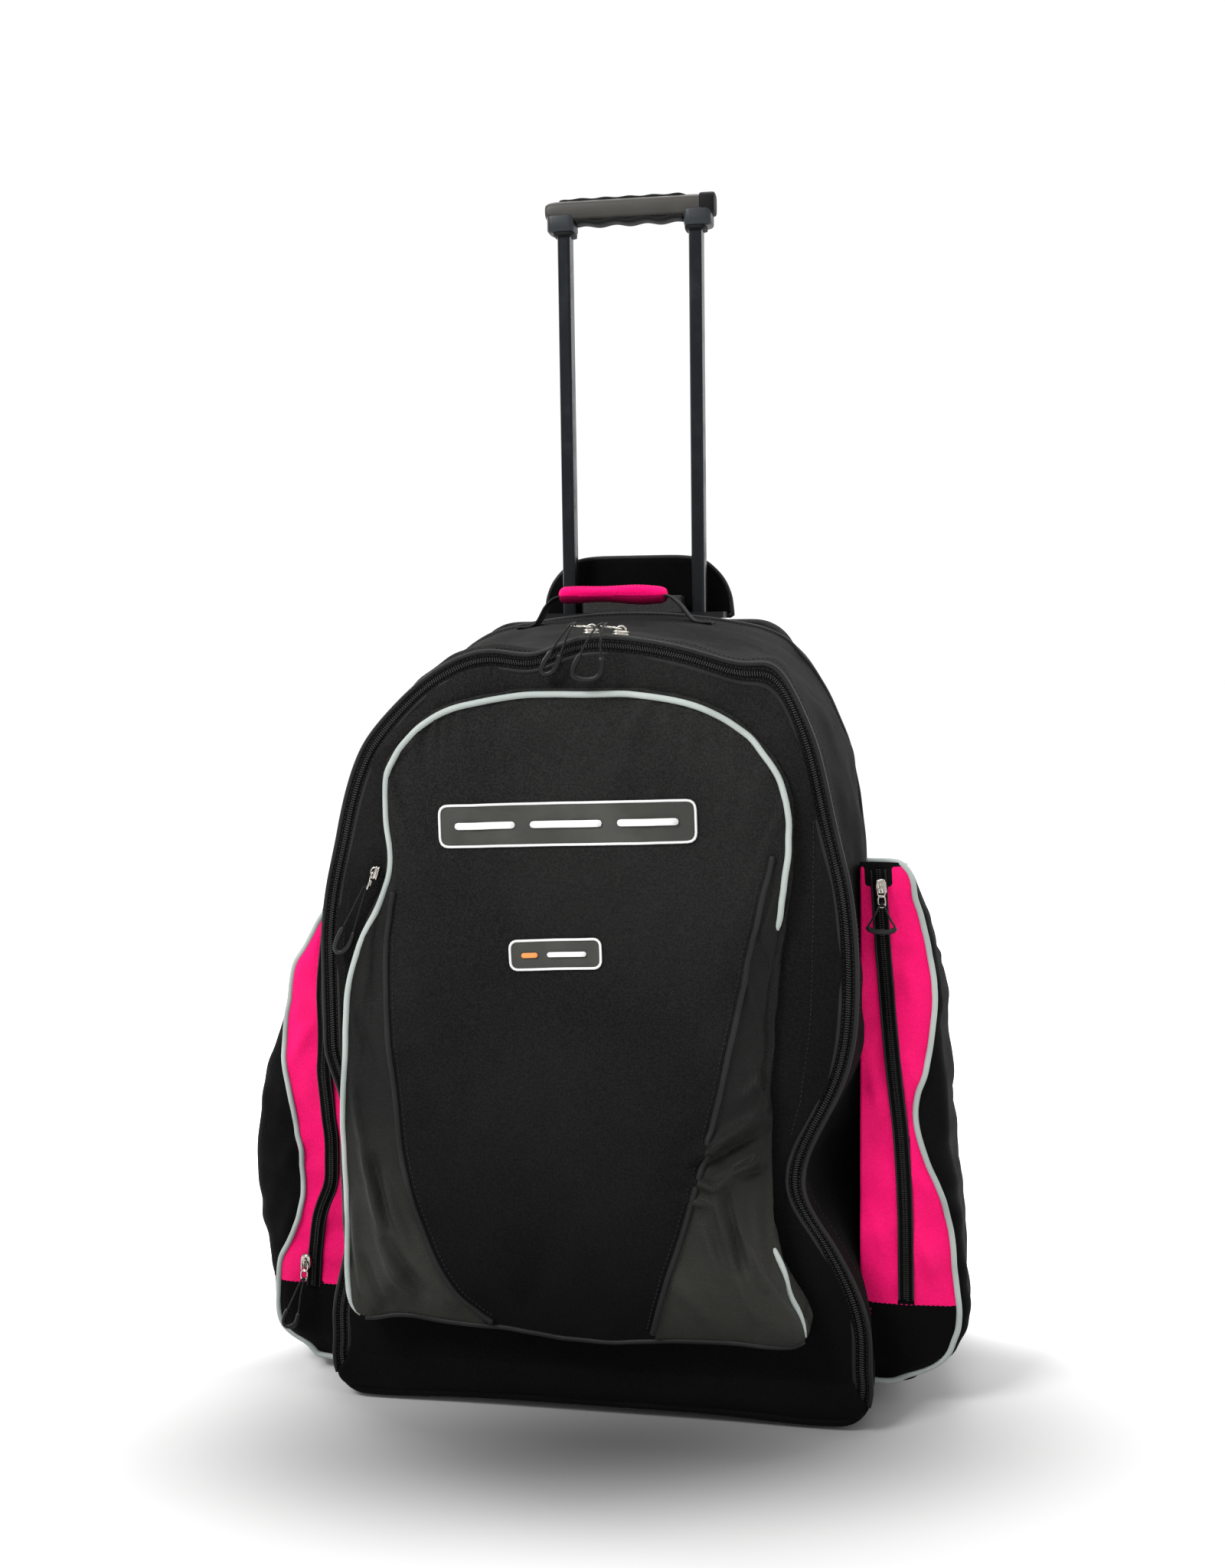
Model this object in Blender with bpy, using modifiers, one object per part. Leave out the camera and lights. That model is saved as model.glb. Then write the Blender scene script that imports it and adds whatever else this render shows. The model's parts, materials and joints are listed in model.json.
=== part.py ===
"""Wheeled skate bag: a tall soft bag on a moulded chassis with two wheels and a telescoping pull handle.

X runs across the bag, Y from its front (-Y) to its back (+Y) and Z up. The origin is on the floor under the
middle of the bag. Everything is in metres.
"""

import math

import bmesh
import bpy
from mathutils import Matrix, Vector

# --- Driving dimensions -------------------------------------------------------------------------------------
CLEAR = 0.0004            # gap kept between pieces that touch

BODY_FRONT_Y = -0.150     # front edge of the fabric shell, where the main zip is sewn on
BODY_BACK_Y = 0.115       # back edge of the fabric shell
BODY_BOTTOM = 0.016
BODY_TOP_FRONT = 0.690
BODY_TOP_BACK = 0.705
BODY_CORNER_R = 0.040     # the two bottom corners
FRONT_ARCS = ((0.360, 20), (0.150, 45), (0.300, 25))   # (radius, degrees) from the top centre outwards
BACK_ARCS = ((0.600, 12), (0.090, 50), (0.397, 28))
SHELL_WALL = 0.004

DOOR_BACK_Y = -0.1600
DOOR_THICK = 0.0055

POCKET_TOP = 0.644        # front pocket
POCKET_BOTTOM = 0.086
POCKET_DEPTH_TOP = 0.012
POCKET_DEPTH_BOTTOM = 0.0546
POCKET_WALL = 0.003

SIDE_X = 0.2374           # plane on which the side pockets are sewn
SIDE_FRONT_Y = -0.118
SIDE_BACK_Y = 0.100
SIDE_TOP = 0.490
SIDE_BOTTOM = 0.022
SIDE_REACH_TOP = 0.046    # how far a side pocket stands out at its top
SIDE_REACH_SLOPE = 0.113  # and how much further for each metre down
SIDE_ZIP_TOP = (0.252, 0.480)      # (x, z) ends of the straight zip in the pocket's front face
SIDE_ZIP_BOTTOM = (0.275, 0.105)
SIDE_ZIP_SLIT = 0.007

TUBE_X = 0.066            # half the distance between the handle's tubes
TUBE_Y = 0.140
INNER_TUBE = (0.014, 0.018)
OUTER_TUBE = (0.018, 0.022)
TUBE_WALL = 0.0012
INNER_TUBE_BOTTOM = 0.600
INNER_TUBE_TOP = 1.0945
OUTER_TUBE_BOTTOM = 0.1004
OUTER_TUBE_TOP = 0.6990
GRIP_HALF = 0.084
GRIP_BOTTOM = 1.0830
GRIP_TOP = 1.1145

WHEEL_R = 0.042
WHEEL_W = 0.024
WHEEL_X = 0.165
WHEEL_Y = 0.1665
AXLE_R = 0.004
SEGMENTS = 24             # sides of a turned shape

ZIP_ARC_R = FRONT_ARCS[0][0]                 # the main sliders run on the arch's top arc
ZIP_ARC_Z = BODY_TOP_FRONT - ZIP_ARC_R
ZIP_Y = -0.1555
MAIN_SLIDERS = (0.011, 0.036)                # x of the two main sliders, closed at the top
TAB_END = 0.0180                             # far end of a pull tab along the zip
EYE = (0.0150, 0.0, 0.0094)                  # where a pull cord leaves its tab, in the slider's own frame
CORD_R = 0.0009

MATERIALS = {
    "black_fabric": ((0.012, 0.012, 0.013), 0.85, 0.0),
    "charcoal_fabric": ((0.055, 0.055, 0.052), 0.55, 0.0),
    "pink_fabric": ((0.85, 0.004, 0.17), 0.80, 0.0),
    "black_plastic": ((0.015, 0.015, 0.016), 0.45, 0.0),
    "grey_plastic": ((0.045, 0.046, 0.044), 0.50, 0.0),
    "board": ((0.020, 0.020, 0.020), 0.60, 0.0),
    "black_tube": ((0.012, 0.013, 0.015), 0.35, 0.9),
    "steel": ((0.55, 0.55, 0.56), 0.30, 1.0),
    "nickel": ((0.70, 0.68, 0.64), 0.22, 1.0),
    "wheel_rubber": ((0.020, 0.020, 0.021), 0.70, 0.0),
    "wheel_hub": ((0.10, 0.10, 0.105), 0.45, 0.0),
    "zip_coil": ((0.008, 0.008, 0.009), 0.60, 0.0),
    "cord": ((0.010, 0.010, 0.010), 0.70, 0.0),
}


# --- Scene and small tools ----------------------------------------------------------------------------------
def clear_scene():
    for old in list(bpy.data.objects):
        bpy.data.objects.remove(old)


def collection(name):
    made = bpy.data.collections.new(name)
    bpy.context.scene.collection.children.link(made)
    return made


clear_scene()
PARTS = collection("skate_bag")
CUTTERS = collection("cutters")


def material(name):
    found = bpy.data.materials.get(name)
    if found:
        return found
    made = bpy.data.materials.new(name)
    made.use_nodes = True
    colour, roughness, metallic = MATERIALS[name]
    shader = made.node_tree.nodes["Principled BSDF"]
    shader.inputs["Base Color"].default_value = (*colour, 1.0)
    shader.inputs["Roughness"].default_value = roughness
    shader.inputs["Metallic"].default_value = metallic
    return made


def keep(obj, finish, where=None):
    """Puts an object into its collection and gives it its material."""
    for home in list(obj.users_collection):
        home.objects.unlink(obj)
    (where or PARTS).objects.link(obj)
    obj.data.materials.clear()
    obj.data.materials.append(material(finish))
    return obj


def from_bmesh(name, bm, finish, where=None):
    mesh = bpy.data.meshes.new(name)
    bm.to_mesh(mesh)
    bm.free()
    return keep(bpy.data.objects.new(name, mesh), finish, where)


def bevel(obj, width, segments=2):
    made = obj.modifiers.new("round", "BEVEL")
    made.width = width
    made.segments = segments
    made.limit_method = "ANGLE"
    return obj


def box(name, low, high, finish, radius=0.0, segments=2, where=None):
    """A box between two corners. Its origin is its centre."""
    low, high = Vector(low), Vector(high)
    bm = bmesh.new()
    bmesh.ops.create_cube(bm, size=1.0)
    bmesh.ops.scale(bm, vec=high - low, verts=bm.verts)
    made = from_bmesh(name, bm, finish, where)
    made.location = (low + high) / 2
    return bevel(made, radius, segments) if radius else made


def cylinder(name, radius, start, end, finish, segments=SEGMENTS, where=None):
    """A cylinder between two points."""
    start, end = Vector(start), Vector(end)
    bm = bmesh.new()
    bmesh.ops.create_cone(
        bm, cap_ends=True, segments=segments, radius1=radius, radius2=radius, depth=(end - start).length
    )
    made = from_bmesh(name, bm, finish, where)
    made.location = (start + end) / 2
    made.rotation_mode = "QUATERNION"
    made.rotation_quaternion = (end - start).to_track_quat("Z", "Y")
    return made


def turned(name, profile, centre, finish):
    """A shape turned about X. profile is a closed outline of (radius, x) that runs along its outer side towards -x."""
    bm = bmesh.new()
    points = [bm.verts.new((radius, 0.0, along)) for radius, along in profile]
    for a, b in zip(points, points[1:] + points[:1]):
        bm.edges.new((a, b))
    made = from_bmesh(name, bm, finish)
    screw = made.modifiers.new("turn", "SCREW")
    screw.steps = screw.render_steps = SEGMENTS
    screw.use_merge_vertices = True
    screw.merge_threshold = 0.00005
    made.location = centre
    made.rotation_euler = (0.0, math.radians(90), 0.0)
    return made


def boolean(obj, other, operation="DIFFERENCE"):
    made = obj.modifiers.new(operation.lower(), "BOOLEAN")
    made.operation = operation
    made.object = other
    other.hide_render = True
    other.display_type = "WIRE"
    return obj


def cut_box(obj, low, high, turn=None):
    """Cuts a box out of obj. turn is (angle about Y, pivot), for a slot that leans."""
    cutter = box(obj.name + "_cut", low, high, "steel", where=CUTTERS)
    if turn:
        angle, pivot = turn
        cutter.rotation_euler = (0.0, angle, 0.0)
        cutter.location = Vector(pivot) + Matrix.Rotation(angle, 3, "Y") @ (cutter.location - Vector(pivot))
    return boolean(obj, cutter)


def cut_bore(obj, radius, start, end):
    return boolean(obj, cylinder(obj.name + "_bore", radius, start, end, "steel", where=CUTTERS))


def add_box(obj, low, high, radius=0.0):
    return boolean(obj, box(obj.name + "_add", low, high, "steel", radius, where=CUTTERS), "UNION")


def plate(name, outlines, half, finish, place):
    """Flat outlines, the first one filled and the others holes in it, thickened by half each way. place is its matrix."""
    curve = bpy.data.curves.new(name, "CURVE")
    curve.dimensions = "2D"
    curve.fill_mode = "BOTH"
    curve.extrude = half
    for outline in outlines:
        spline = curve.splines.new("POLY")
        spline.points.add(len(outline) - 1)
        for point, (a, b) in zip(spline.points, outline):
            point.co = (a, b, 0.0, 1.0)
        spline.use_cyclic_u = True
    made = keep(bpy.data.objects.new(name, curve), finish)
    made.matrix_world = place
    return made


def wire(name, points, radius, finish, fat=None, resolution=0):
    """A round bar along points. fat gives each point's share of the radius."""
    curve = bpy.data.curves.new(name, "CURVE")
    curve.dimensions = "3D"
    curve.bevel_depth = radius
    curve.bevel_resolution = resolution
    curve.use_fill_caps = True
    spline = curve.splines.new("POLY")
    spline.points.add(len(points) - 1)
    for i, point in enumerate(points):
        spline.points[i].co = (*point, 1.0)
        spline.points[i].radius = fat[i] if fat else 1.0
    return keep(bpy.data.objects.new(name, curve), finish)


def arc(centre, radius, start, end, steps):
    """Points of an arc in a plane, with angles in degrees from its second axis towards its first."""
    angles = [math.radians(start + (end - start) * i / steps) for i in range(steps + 1)]
    return [(centre[0] + radius * math.sin(a), centre[1] + radius * math.cos(a)) for a in angles]


def rounded(low, high, radius, steps=3):
    """A rectangle's outline with round corners."""
    (a0, b0), (a1, b1) = low, high
    return [
        *arc((a1 - radius, b1 - radius), radius, 0, 90, steps),
        *arc((a1 - radius, b0 + radius), radius, 90, 180, steps),
        *arc((a0 + radius, b0 + radius), radius, 180, 270, steps),
        *arc((a0 + radius, b1 - radius), radius, 270, 360, steps),
    ]


def inset(outline, distance):
    """The outline moved inwards, for one that runs clockwise."""
    moved = []
    for i, (a, b) in enumerate(outline):
        before, after = outline[i - 1], outline[(i + 1) % len(outline)]
        along = Vector((after[0] - before[0], after[1] - before[1])).normalized()
        moved.append((a + along.y * distance, b - along.x * distance))
    return moved


def loft(name, rings, finish, ends=True, wall=0.0):
    """A skin through rings of points. With a wall it is an open skin that Solidify thickens inwards."""
    bm = bmesh.new()
    rows = [[bm.verts.new(point) for point in ring] for ring in rings]
    count = len(rows[0])
    for low, high in zip(rows, rows[1:]):
        for i in range(count):
            j = (i + 1) % count
            bm.faces.new((low[i], low[j], high[j], high[i]))
    if ends in (True, "last"):
        bm.faces.new(rows[-1])
    if ends is True:
        bm.faces.new(list(reversed(rows[0])))
    bm.normal_update()
    middle = sum((v.co for v in rows[0]), Vector()) / count
    facing = sum((f.calc_center_median() - middle).dot(f.normal) * f.calc_area() for f in bm.faces)
    if facing < 0:
        bmesh.ops.reverse_faces(bm, faces=bm.faces)
    made = from_bmesh(name, bm, finish)
    if wall:
        skin = made.modifiers.new("wall", "SOLIDIFY")
        skin.thickness = wall
        skin.offset = -1.0
        skin.use_even_offset = True
    return made


def sides():
    """("left", -1) and ("right", 1), as seen from the front."""
    return (("left", -1), ("right", 1))


# --- Outlines of the bag ------------------------------------------------------------------------------------
def half_arch(arcs, top, steps=(3, 5, 3), corner_steps=3):
    """(x, z) from the top centre down the right side to the bottom: tangent arcs, a straight side and a corner."""
    points = [(0.0, top)]
    centre, turned_by = (0.0, top - arcs[0][0]), 0
    for i, (radius, degrees) in enumerate(arcs):
        if i:
            last, a = points[-1], math.radians(turned_by)
            centre = (last[0] - radius * math.sin(a), last[1] - radius * math.cos(a))
        points += arc(centre, radius, turned_by, turned_by + degrees, steps[i])[1:]
        turned_by += degrees
    corner = (points[-1][0] - BODY_CORNER_R, BODY_BOTTOM + BODY_CORNER_R)
    return points + arc(corner, BODY_CORNER_R, 90, 180, corner_steps)


def whole(half):
    """A right half and its mirror image as one outline, from the bottom left clockwise to the bottom right."""
    return [(-x, z) for x, z in reversed(half[1:])] + half


FRONT_OUTLINE = whole(half_arch(FRONT_ARCS, BODY_TOP_FRONT))
BACK_OUTLINE = whole(half_arch(BACK_ARCS, BODY_TOP_BACK))


def upright(y):
    """A matrix that stands a flat outline up, so that its (a, b) are (x, z) at this y."""
    return Matrix.Translation((0.0, y, 0.0)) @ Matrix.Rotation(math.radians(90), 4, "X")


# --- Soft body ----------------------------------------------------------------------------------------------
def body_shell():
    rings = [
        [(x, BODY_FRONT_Y, z) for x, z in FRONT_OUTLINE],
        [(x, BODY_BACK_Y, z) for x, z in BACK_OUTLINE],
    ]
    bm = bmesh.new()
    front, back = ([bm.verts.new(point) for point in ring] for ring in rings)
    for i in range(len(front)):
        j = (i + 1) % len(front)
        bm.faces.new((front[i], front[j], back[j], back[i]))
    made = from_bmesh("body_shell", bm, "black_fabric")
    skin = made.modifiers.new("wall", "SOLIDIFY")
    skin.thickness = SHELL_WALL
    skin.offset = -1.0


def boards():
    plate(
        "frame_sheet", [inset(BACK_OUTLINE, 0.001)], 0.0014, "board",
        upright(BODY_BACK_Y + CLEAR + 0.0014),
    )
    floor = BODY_BOTTOM + SHELL_WALL + CLEAR
    box("base_board", (-0.185, BODY_FRONT_Y + 0.004, floor), (0.185, BODY_BACK_Y - 0.003, floor + 0.003), "board")


def back_cover():
    """The padded back, a hollow cover over the tubes. It is open towards the frame sheet and where the tubes pass."""
    front, back = BODY_BACK_Y + 0.0040, 0.1665
    outline = rounded((-0.165, 0.116), (0.165, 0.6985), 0.030)
    soft = 0.008
    rings = [
        [(x, front, z) for x, z in outline],
        [(x, back - soft, z) for x, z in outline],
        [(x, back, z) for x, z in inset(outline, soft)],
    ]
    cover = loft("back_cover", rings, "black_fabric", ends="last", wall=0.004)
    cut_box(cover, (-0.0765, TUBE_Y - 0.0120, 0.10), (0.0765, TUBE_Y + 0.0120, 0.71))


def shoulder_straps():
    pad = ((0.045, 0.1745, 0.615), (0.050, 0.197, 0.585), (0.058, 0.213, 0.520), (0.070, 0.214, 0.440),
           (0.082, 0.205, 0.360), (0.092, 0.190, 0.290))
    web = ((0.0945, 0.1815, 0.256), (0.104, 0.1765, 0.200), (0.116, 0.1730, 0.150), (0.118, 0.1695, 0.124))

    def strap(name, path, width, thick, side, finish):
        rings = []
        for i, point in enumerate(path):
            here = Vector(point)
            along = (Vector(path[min(i + 1, len(path) - 1)]) - Vector(path[max(i - 1, 0)])).normalized()
            out = along.cross(Vector((1, 0, 0))).normalized() * thick / 2
            across = Vector((width / 2, 0, 0))
            ring = [here + across + out, here + across - out, here - across - out, here - across + out]
            rings.append([(side * p.x, p.y, p.z) for p in ring])
        return loft(name, rings, finish)

    for side_name, side in sides():
        strap("shoulder_strap_" + side_name, pad, 0.056, 0.012, side, "black_fabric")
        strap("strap_web_" + side_name, web, 0.024, 0.0025, side, "black_fabric")
        buckle = box(
            "strap_buckle_" + side_name,
            (side * 0.0935 - 0.017, 0.1790, 0.2620), (side * 0.0935 + 0.017, 0.1850, 0.2800), "black_plastic",
        )
        for low in (0.2645, 0.2725):
            cut_box(buckle, (side * 0.0935 - 0.013, 0.17, low), (side * 0.0935 + 0.013, 0.20, low + 0.0045))


# --- Door with the front pocket -----------------------------------------------------------------------------
def pocket_half():
    """(x, z) of the front pocket's right half: a round arch that flares into a wider base."""
    top_r, shoulder_r = 0.300, 0.090
    points = arc((0.0, POCKET_TOP - top_r), top_r, 0, 20, 3)
    shoulder = (points[-1][0] - shoulder_r * math.sin(math.radians(20)),
                points[-1][1] - shoulder_r * math.cos(math.radians(20)))
    points += arc(shoulder, shoulder_r, 20, 90, 5)[1:]
    return points + [(0.1715, 0.497), (0.2120, 0.365), (0.2140, 0.180), (0.2100, 0.108), (0.1900, POCKET_BOTTOM)]


def front_door():
    plate(
        "door_panel", [inset(FRONT_OUTLINE, 0.0025)], DOOR_THICK / 2, "black_fabric",
        upright(DOOR_BACK_Y - DOOR_THICK / 2),
    )
    face = DOOR_BACK_Y - DOOR_THICK - CLEAR
    outline = whole(pocket_half())
    rim = 0.006

    def depth(z):
        down = (POCKET_TOP - z) / (POCKET_TOP - POCKET_BOTTOM)
        return POCKET_DEPTH_TOP + (POCKET_DEPTH_BOTTOM - POCKET_DEPTH_TOP) * down

    rings = [
        [(x, face, z) for x, z in outline],
        [(x, face - depth(z) + rim, z) for x, z in outline],
        [(x, face - depth(z), z) for x, z in inset(outline, rim)],
    ]
    pocket = loft("front_pocket", rings, "black_fabric", ends="last", wall=POCKET_WALL)
    cut_box(pocket, (-0.230, face - 0.022, 0.14), (-0.195, face - 0.015, 0.33))


def main_zip():
    route = [point for point in inset(FRONT_OUTLINE, 0.0022) if point[1] > BODY_BOTTOM + 0.03]
    for name, y in (("main_zip_shell_half", ZIP_Y + 0.0020), ("main_zip_door_half", ZIP_Y - 0.0020)):
        wire(name, [(x, y, z) for x, z in route], 0.0016, "zip_coil")


# --- Side pockets -------------------------------------------------------------------------------------------
def side_reach(z):
    return SIDE_REACH_TOP + (SIDE_TOP - z) * SIDE_REACH_SLOPE


def side_pockets():
    outline = rounded((SIDE_FRONT_Y, SIDE_BOTTOM), (SIDE_BACK_Y, SIDE_TOP), 0.035)
    soft = 0.016
    (top_x, top_z), (low_x, low_z) = SIDE_ZIP_TOP, SIDE_ZIP_BOTTOM
    middle_x, middle_z = (top_x + low_x) / 2, (top_z + low_z) / 2
    lean = math.atan2(low_x - top_x, top_z - low_z)
    long = math.hypot(low_x - top_x, top_z - low_z)
    for side_name, side in sides():
        rings = [
            [(side * SIDE_X, y, z) for y, z in outline],
            [(side * (SIDE_X + side_reach(z) - soft), y, z) for y, z in outline],
            [(side * (SIDE_X + side_reach(z)), y, z) for y, z in inset(outline, soft)],
        ]
        pocket = loft("side_pocket_" + side_name, rings, "black_fabric", ends="last", wall=0.0035)
        middle = (side * middle_x, SIDE_FRONT_Y, middle_z)
        turn = (-side * lean, middle)
        cut_box(
            pocket,
            (middle[0] - SIDE_ZIP_SLIT / 2, SIDE_FRONT_Y - 0.01, middle_z - long / 2 + 0.02),
            (middle[0] + SIDE_ZIP_SLIT / 2, SIDE_FRONT_Y + 0.01, middle_z + long / 2 - 0.02),
            turn,
        )
        strip = box(
            "side_zip_" + side_name,
            (middle[0] - 0.0045, SIDE_FRONT_Y - CLEAR - 0.0016, middle_z - long / 2),
            (middle[0] + 0.0045, SIDE_FRONT_Y - CLEAR, middle_z + long / 2),
            "zip_coil",
        )
        strip.rotation_euler = (0.0, -side * lean, 0.0)


# --- Chassis and wheels -------------------------------------------------------------------------------------
def chassis():
    """One moulding: a tray under the bag, an upright kick plate, the wheel cheeks and the tube sockets."""
    wall_y = BODY_BACK_Y + 0.0042
    low, high = 0.0098, BODY_BOTTOM - CLEAR
    moulding = box("base_chassis", (-0.190, -0.140, low), (0.190, wall_y + 0.003, high), "black_plastic")
    add_box(moulding, (-0.195, wall_y, low), (0.195, wall_y + 0.003, 0.1125))
    for side in (-1, 1):
        for inner in (0.140, 0.1795):
            x0, x1 = sorted((side * inner, side * (inner + 0.0105)))
            add_box(moulding, (x0, wall_y + 0.001, 0.020), (x1, 0.185, 0.0870))
        x0, x1 = sorted((side * 0.140, side * 0.190))
        add_box(moulding, (x0, wall_y + 0.001, 0.0860), (x1, 0.178, 0.0910))
        x0, x1 = sorted((side * (TUBE_X - 0.012), side * (TUBE_X + 0.012)))
        add_box(moulding, (x0, wall_y + 0.001, 0.060), (x1, TUBE_Y + 0.013, 0.100))
        cut_bore(moulding, AXLE_R + CLEAR, (side * 0.130, WHEEL_Y, WHEEL_R), (side * 0.200, WHEEL_Y, WHEEL_R))
    for side_name, side in sides():
        box(
            "skid_" + side_name, (side * 0.120 - 0.012, -0.132, 0.0), (side * 0.120 + 0.012, 0.040, low - CLEAR),
            "black_plastic",
        )


def wheels():
    half = WHEEL_W / 2
    tyre = [(0.030, half - 0.002), (0.038, half), (WHEEL_R, half - 0.006), (WHEEL_R, 0.006 - half),
            (0.038, -half), (0.030, 0.002 - half)]
    seat, race, step = 0.0116, 0.0100, 0.0030
    hub = [(0.0296, race), (0.0296, -race), (seat, -race), (seat, -step), (0.0068, -step), (0.0068, step),
           (seat, step), (seat, race)]
    bore = AXLE_R + CLEAR
    bearing = [(0.0112, race - 0.0003), (0.0112, step + 0.0004), (0.0060, step + 0.0004), (0.0060, -step - 0.0004),
               (0.0112, -step - 0.0004), (0.0112, 0.0003 - race), (bore, 0.0003 - race), (bore, race - 0.0003)]
    for side_name, side in sides():
        centre = (side * WHEEL_X, WHEEL_Y, WHEEL_R)
        turned("wheel_tyre_" + side_name, tyre, centre, "wheel_rubber")
        turned("wheel_hub_" + side_name, hub, centre, "wheel_hub")
        turned("wheel_bearings_" + side_name, bearing, centre, "steel")
        along = Vector((side, 0.0, 0.0))
        bolt = cylinder(
            "axle_bolt_" + side_name, AXLE_R, Vector(centre) - along * 0.0260, Vector(centre) + along * 0.0280, "steel"
        )
        head = cylinder(
            bolt.name + "_head", 0.0072, Vector(centre) + along * 0.0255, Vector(centre) + along * 0.0285, "steel",
            where=CUTTERS,
        )
        boolean(bolt, head, "UNION")


# --- Telescoping handle -------------------------------------------------------------------------------------
def hollow_tube(name, size, low, high, side, finish):
    outer = rounded((-size[0] / 2, -size[1] / 2), (size[0] / 2, size[1] / 2), 0.0035, 2)
    inner = rounded(
        (TUBE_WALL - size[0] / 2, TUBE_WALL - size[1] / 2), (size[0] / 2 - TUBE_WALL, size[1] / 2 - TUBE_WALL),
        0.0024, 2,
    )
    return plate(
        name, [outer, inner], (high - low) / 2, finish,
        Matrix.Translation((side * TUBE_X, TUBE_Y, (low + high) / 2)),
    )


def as_mesh(obj):
    """The same object as a welded mesh, which a Boolean can cut."""
    bpy.context.view_layer.update()
    evaluated = obj.evaluated_get(bpy.context.evaluated_depsgraph_get())
    mesh = bpy.data.meshes.new_from_object(evaluated)
    bm = bmesh.new()
    bm.from_mesh(mesh)
    bmesh.ops.remove_doubles(bm, verts=bm.verts, dist=0.00002)
    bm.to_mesh(mesh)
    bm.free()
    name, place = obj.name, obj.matrix_world.copy()
    bpy.data.objects.remove(obj)
    made = bpy.data.objects.new(name, mesh)
    PARTS.objects.link(made)
    made.matrix_world = place
    return made


PIN_Z = INNER_TUBE_BOTTOM + 0.022
PIN_R = 0.0020
BAR_TOP = 1.1070          # top of the bar that joins the button to the push rods


def handle():
    for side_name, side in sides():
        hollow_tube("outer_tube_" + side_name, OUTER_TUBE, OUTER_TUBE_BOTTOM, OUTER_TUBE_TOP, side, "black_tube")
        tube = as_mesh(
            hollow_tube("inner_tube_" + side_name, INNER_TUBE, INNER_TUBE_BOTTOM, INNER_TUBE_TOP, side, "black_tube")
        )
        face = side * (TUBE_X + INNER_TUBE[0] / 2)
        cut_bore(
            tube, PIN_R + CLEAR, (face + side * 0.002, TUBE_Y, PIN_Z), (face - side * 0.004, TUBE_Y, PIN_Z)
        )
        cylinder(
            "lock_pin_" + side_name, PIN_R, (face, TUBE_Y, PIN_Z), (face - side * 0.0050, TUBE_Y, PIN_Z), "steel", 12
        )
        rod = side * TUBE_X
        cylinder(
            "push_rod_" + side_name, 0.0015, (rod, TUBE_Y, PIN_Z + 0.010), (rod, TUBE_Y, BAR_TOP - 0.003 - CLEAR),
            "steel", 10,
        )

    y0, y1 = TUBE_Y - 0.0125, TUBE_Y + 0.0125
    bar_low = GRIP_TOP - 0.0225
    grip = box("grip_shell", (-GRIP_HALF, y0, bar_low), (GRIP_HALF, y1, GRIP_TOP), "grey_plastic", 0.0075)
    for side in (-1, 1):
        x0, x1 = sorted((side * 0.054, side * (GRIP_HALF - 0.0015)))
        add_box(grip, (x0, y0 - 0.001, GRIP_BOTTOM), (x1, y1 + 0.001, GRIP_TOP - 0.009), 0.002)
    room = CLEAR + 0.0002
    half_x, half_y = INNER_TUBE[0] / 2 + room, INNER_TUBE[1] / 2 + room
    cut_box(grip, (-0.073, TUBE_Y - 0.0055, 1.0975), (0.073, TUBE_Y + 0.0055, BAR_TOP + room))
    for side in (-1, 1):
        centre = side * TUBE_X
        cut_box(
            grip, (centre - half_x, TUBE_Y - half_y, GRIP_BOTTOM - 0.002),
            (centre + half_x, TUBE_Y + half_y, INNER_TUBE_TOP + CLEAR),
        )
        cut_bore(grip, 0.0030, (centre, TUBE_Y, 1.090), (centre, TUBE_Y, 1.100))
    cut_box(grip, (-0.0186, TUBE_Y - 0.0056, 1.100), (0.0186, TUBE_Y + 0.0056, 1.120))
    box("grip_pad", (-0.0535, y0 + 0.002, bar_low - 0.0060), (0.0535, y1 - 0.002, bar_low - CLEAR), "black_plastic")

    button = box("release_button", (-0.018, TUBE_Y - 0.005, 1.1035), (0.018, TUBE_Y + 0.005, 1.1190), "black_plastic")
    add_box(button, (-0.071, TUBE_Y - 0.0048, BAR_TOP - 0.003), (0.071, TUBE_Y + 0.0048, BAR_TOP))


def bezel():
    """The collar on top of the back, round the inner tubes, with a raised block between them."""
    low = BODY_TOP_BACK - 0.005
    plate_top = low + 0.006
    collar = box("tube_bezel", (-0.092, 0.1235, low), (0.092, 0.1585, plate_top), "grey_plastic")
    add_box(collar, (-0.052, 0.1270, low + 0.001), (0.052, 0.1500, 0.7220))
    room = 0.0006
    for side in (-1, 1):
        centre = side * TUBE_X
        cut_box(
            collar, (centre - INNER_TUBE[0] / 2 - room, TUBE_Y - INNER_TUBE[1] / 2 - room, low - 0.01),
            (centre + INNER_TUBE[0] / 2 + room, TUBE_Y + INNER_TUBE[1] / 2 + room, plate_top + 0.03),
        )


def cover_flap():
    """The stiffened flap behind the tubes, hinged along its foot."""
    right = [(0.0, 0.762), *arc((0.046, 0.737), 0.025, 0, 75, 3), (0.093, 0.7080), (0.093, 0.7010)]
    plate("handle_cover_flap", [whole(right)], 0.0025, "black_fabric", upright(0.1632))


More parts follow.
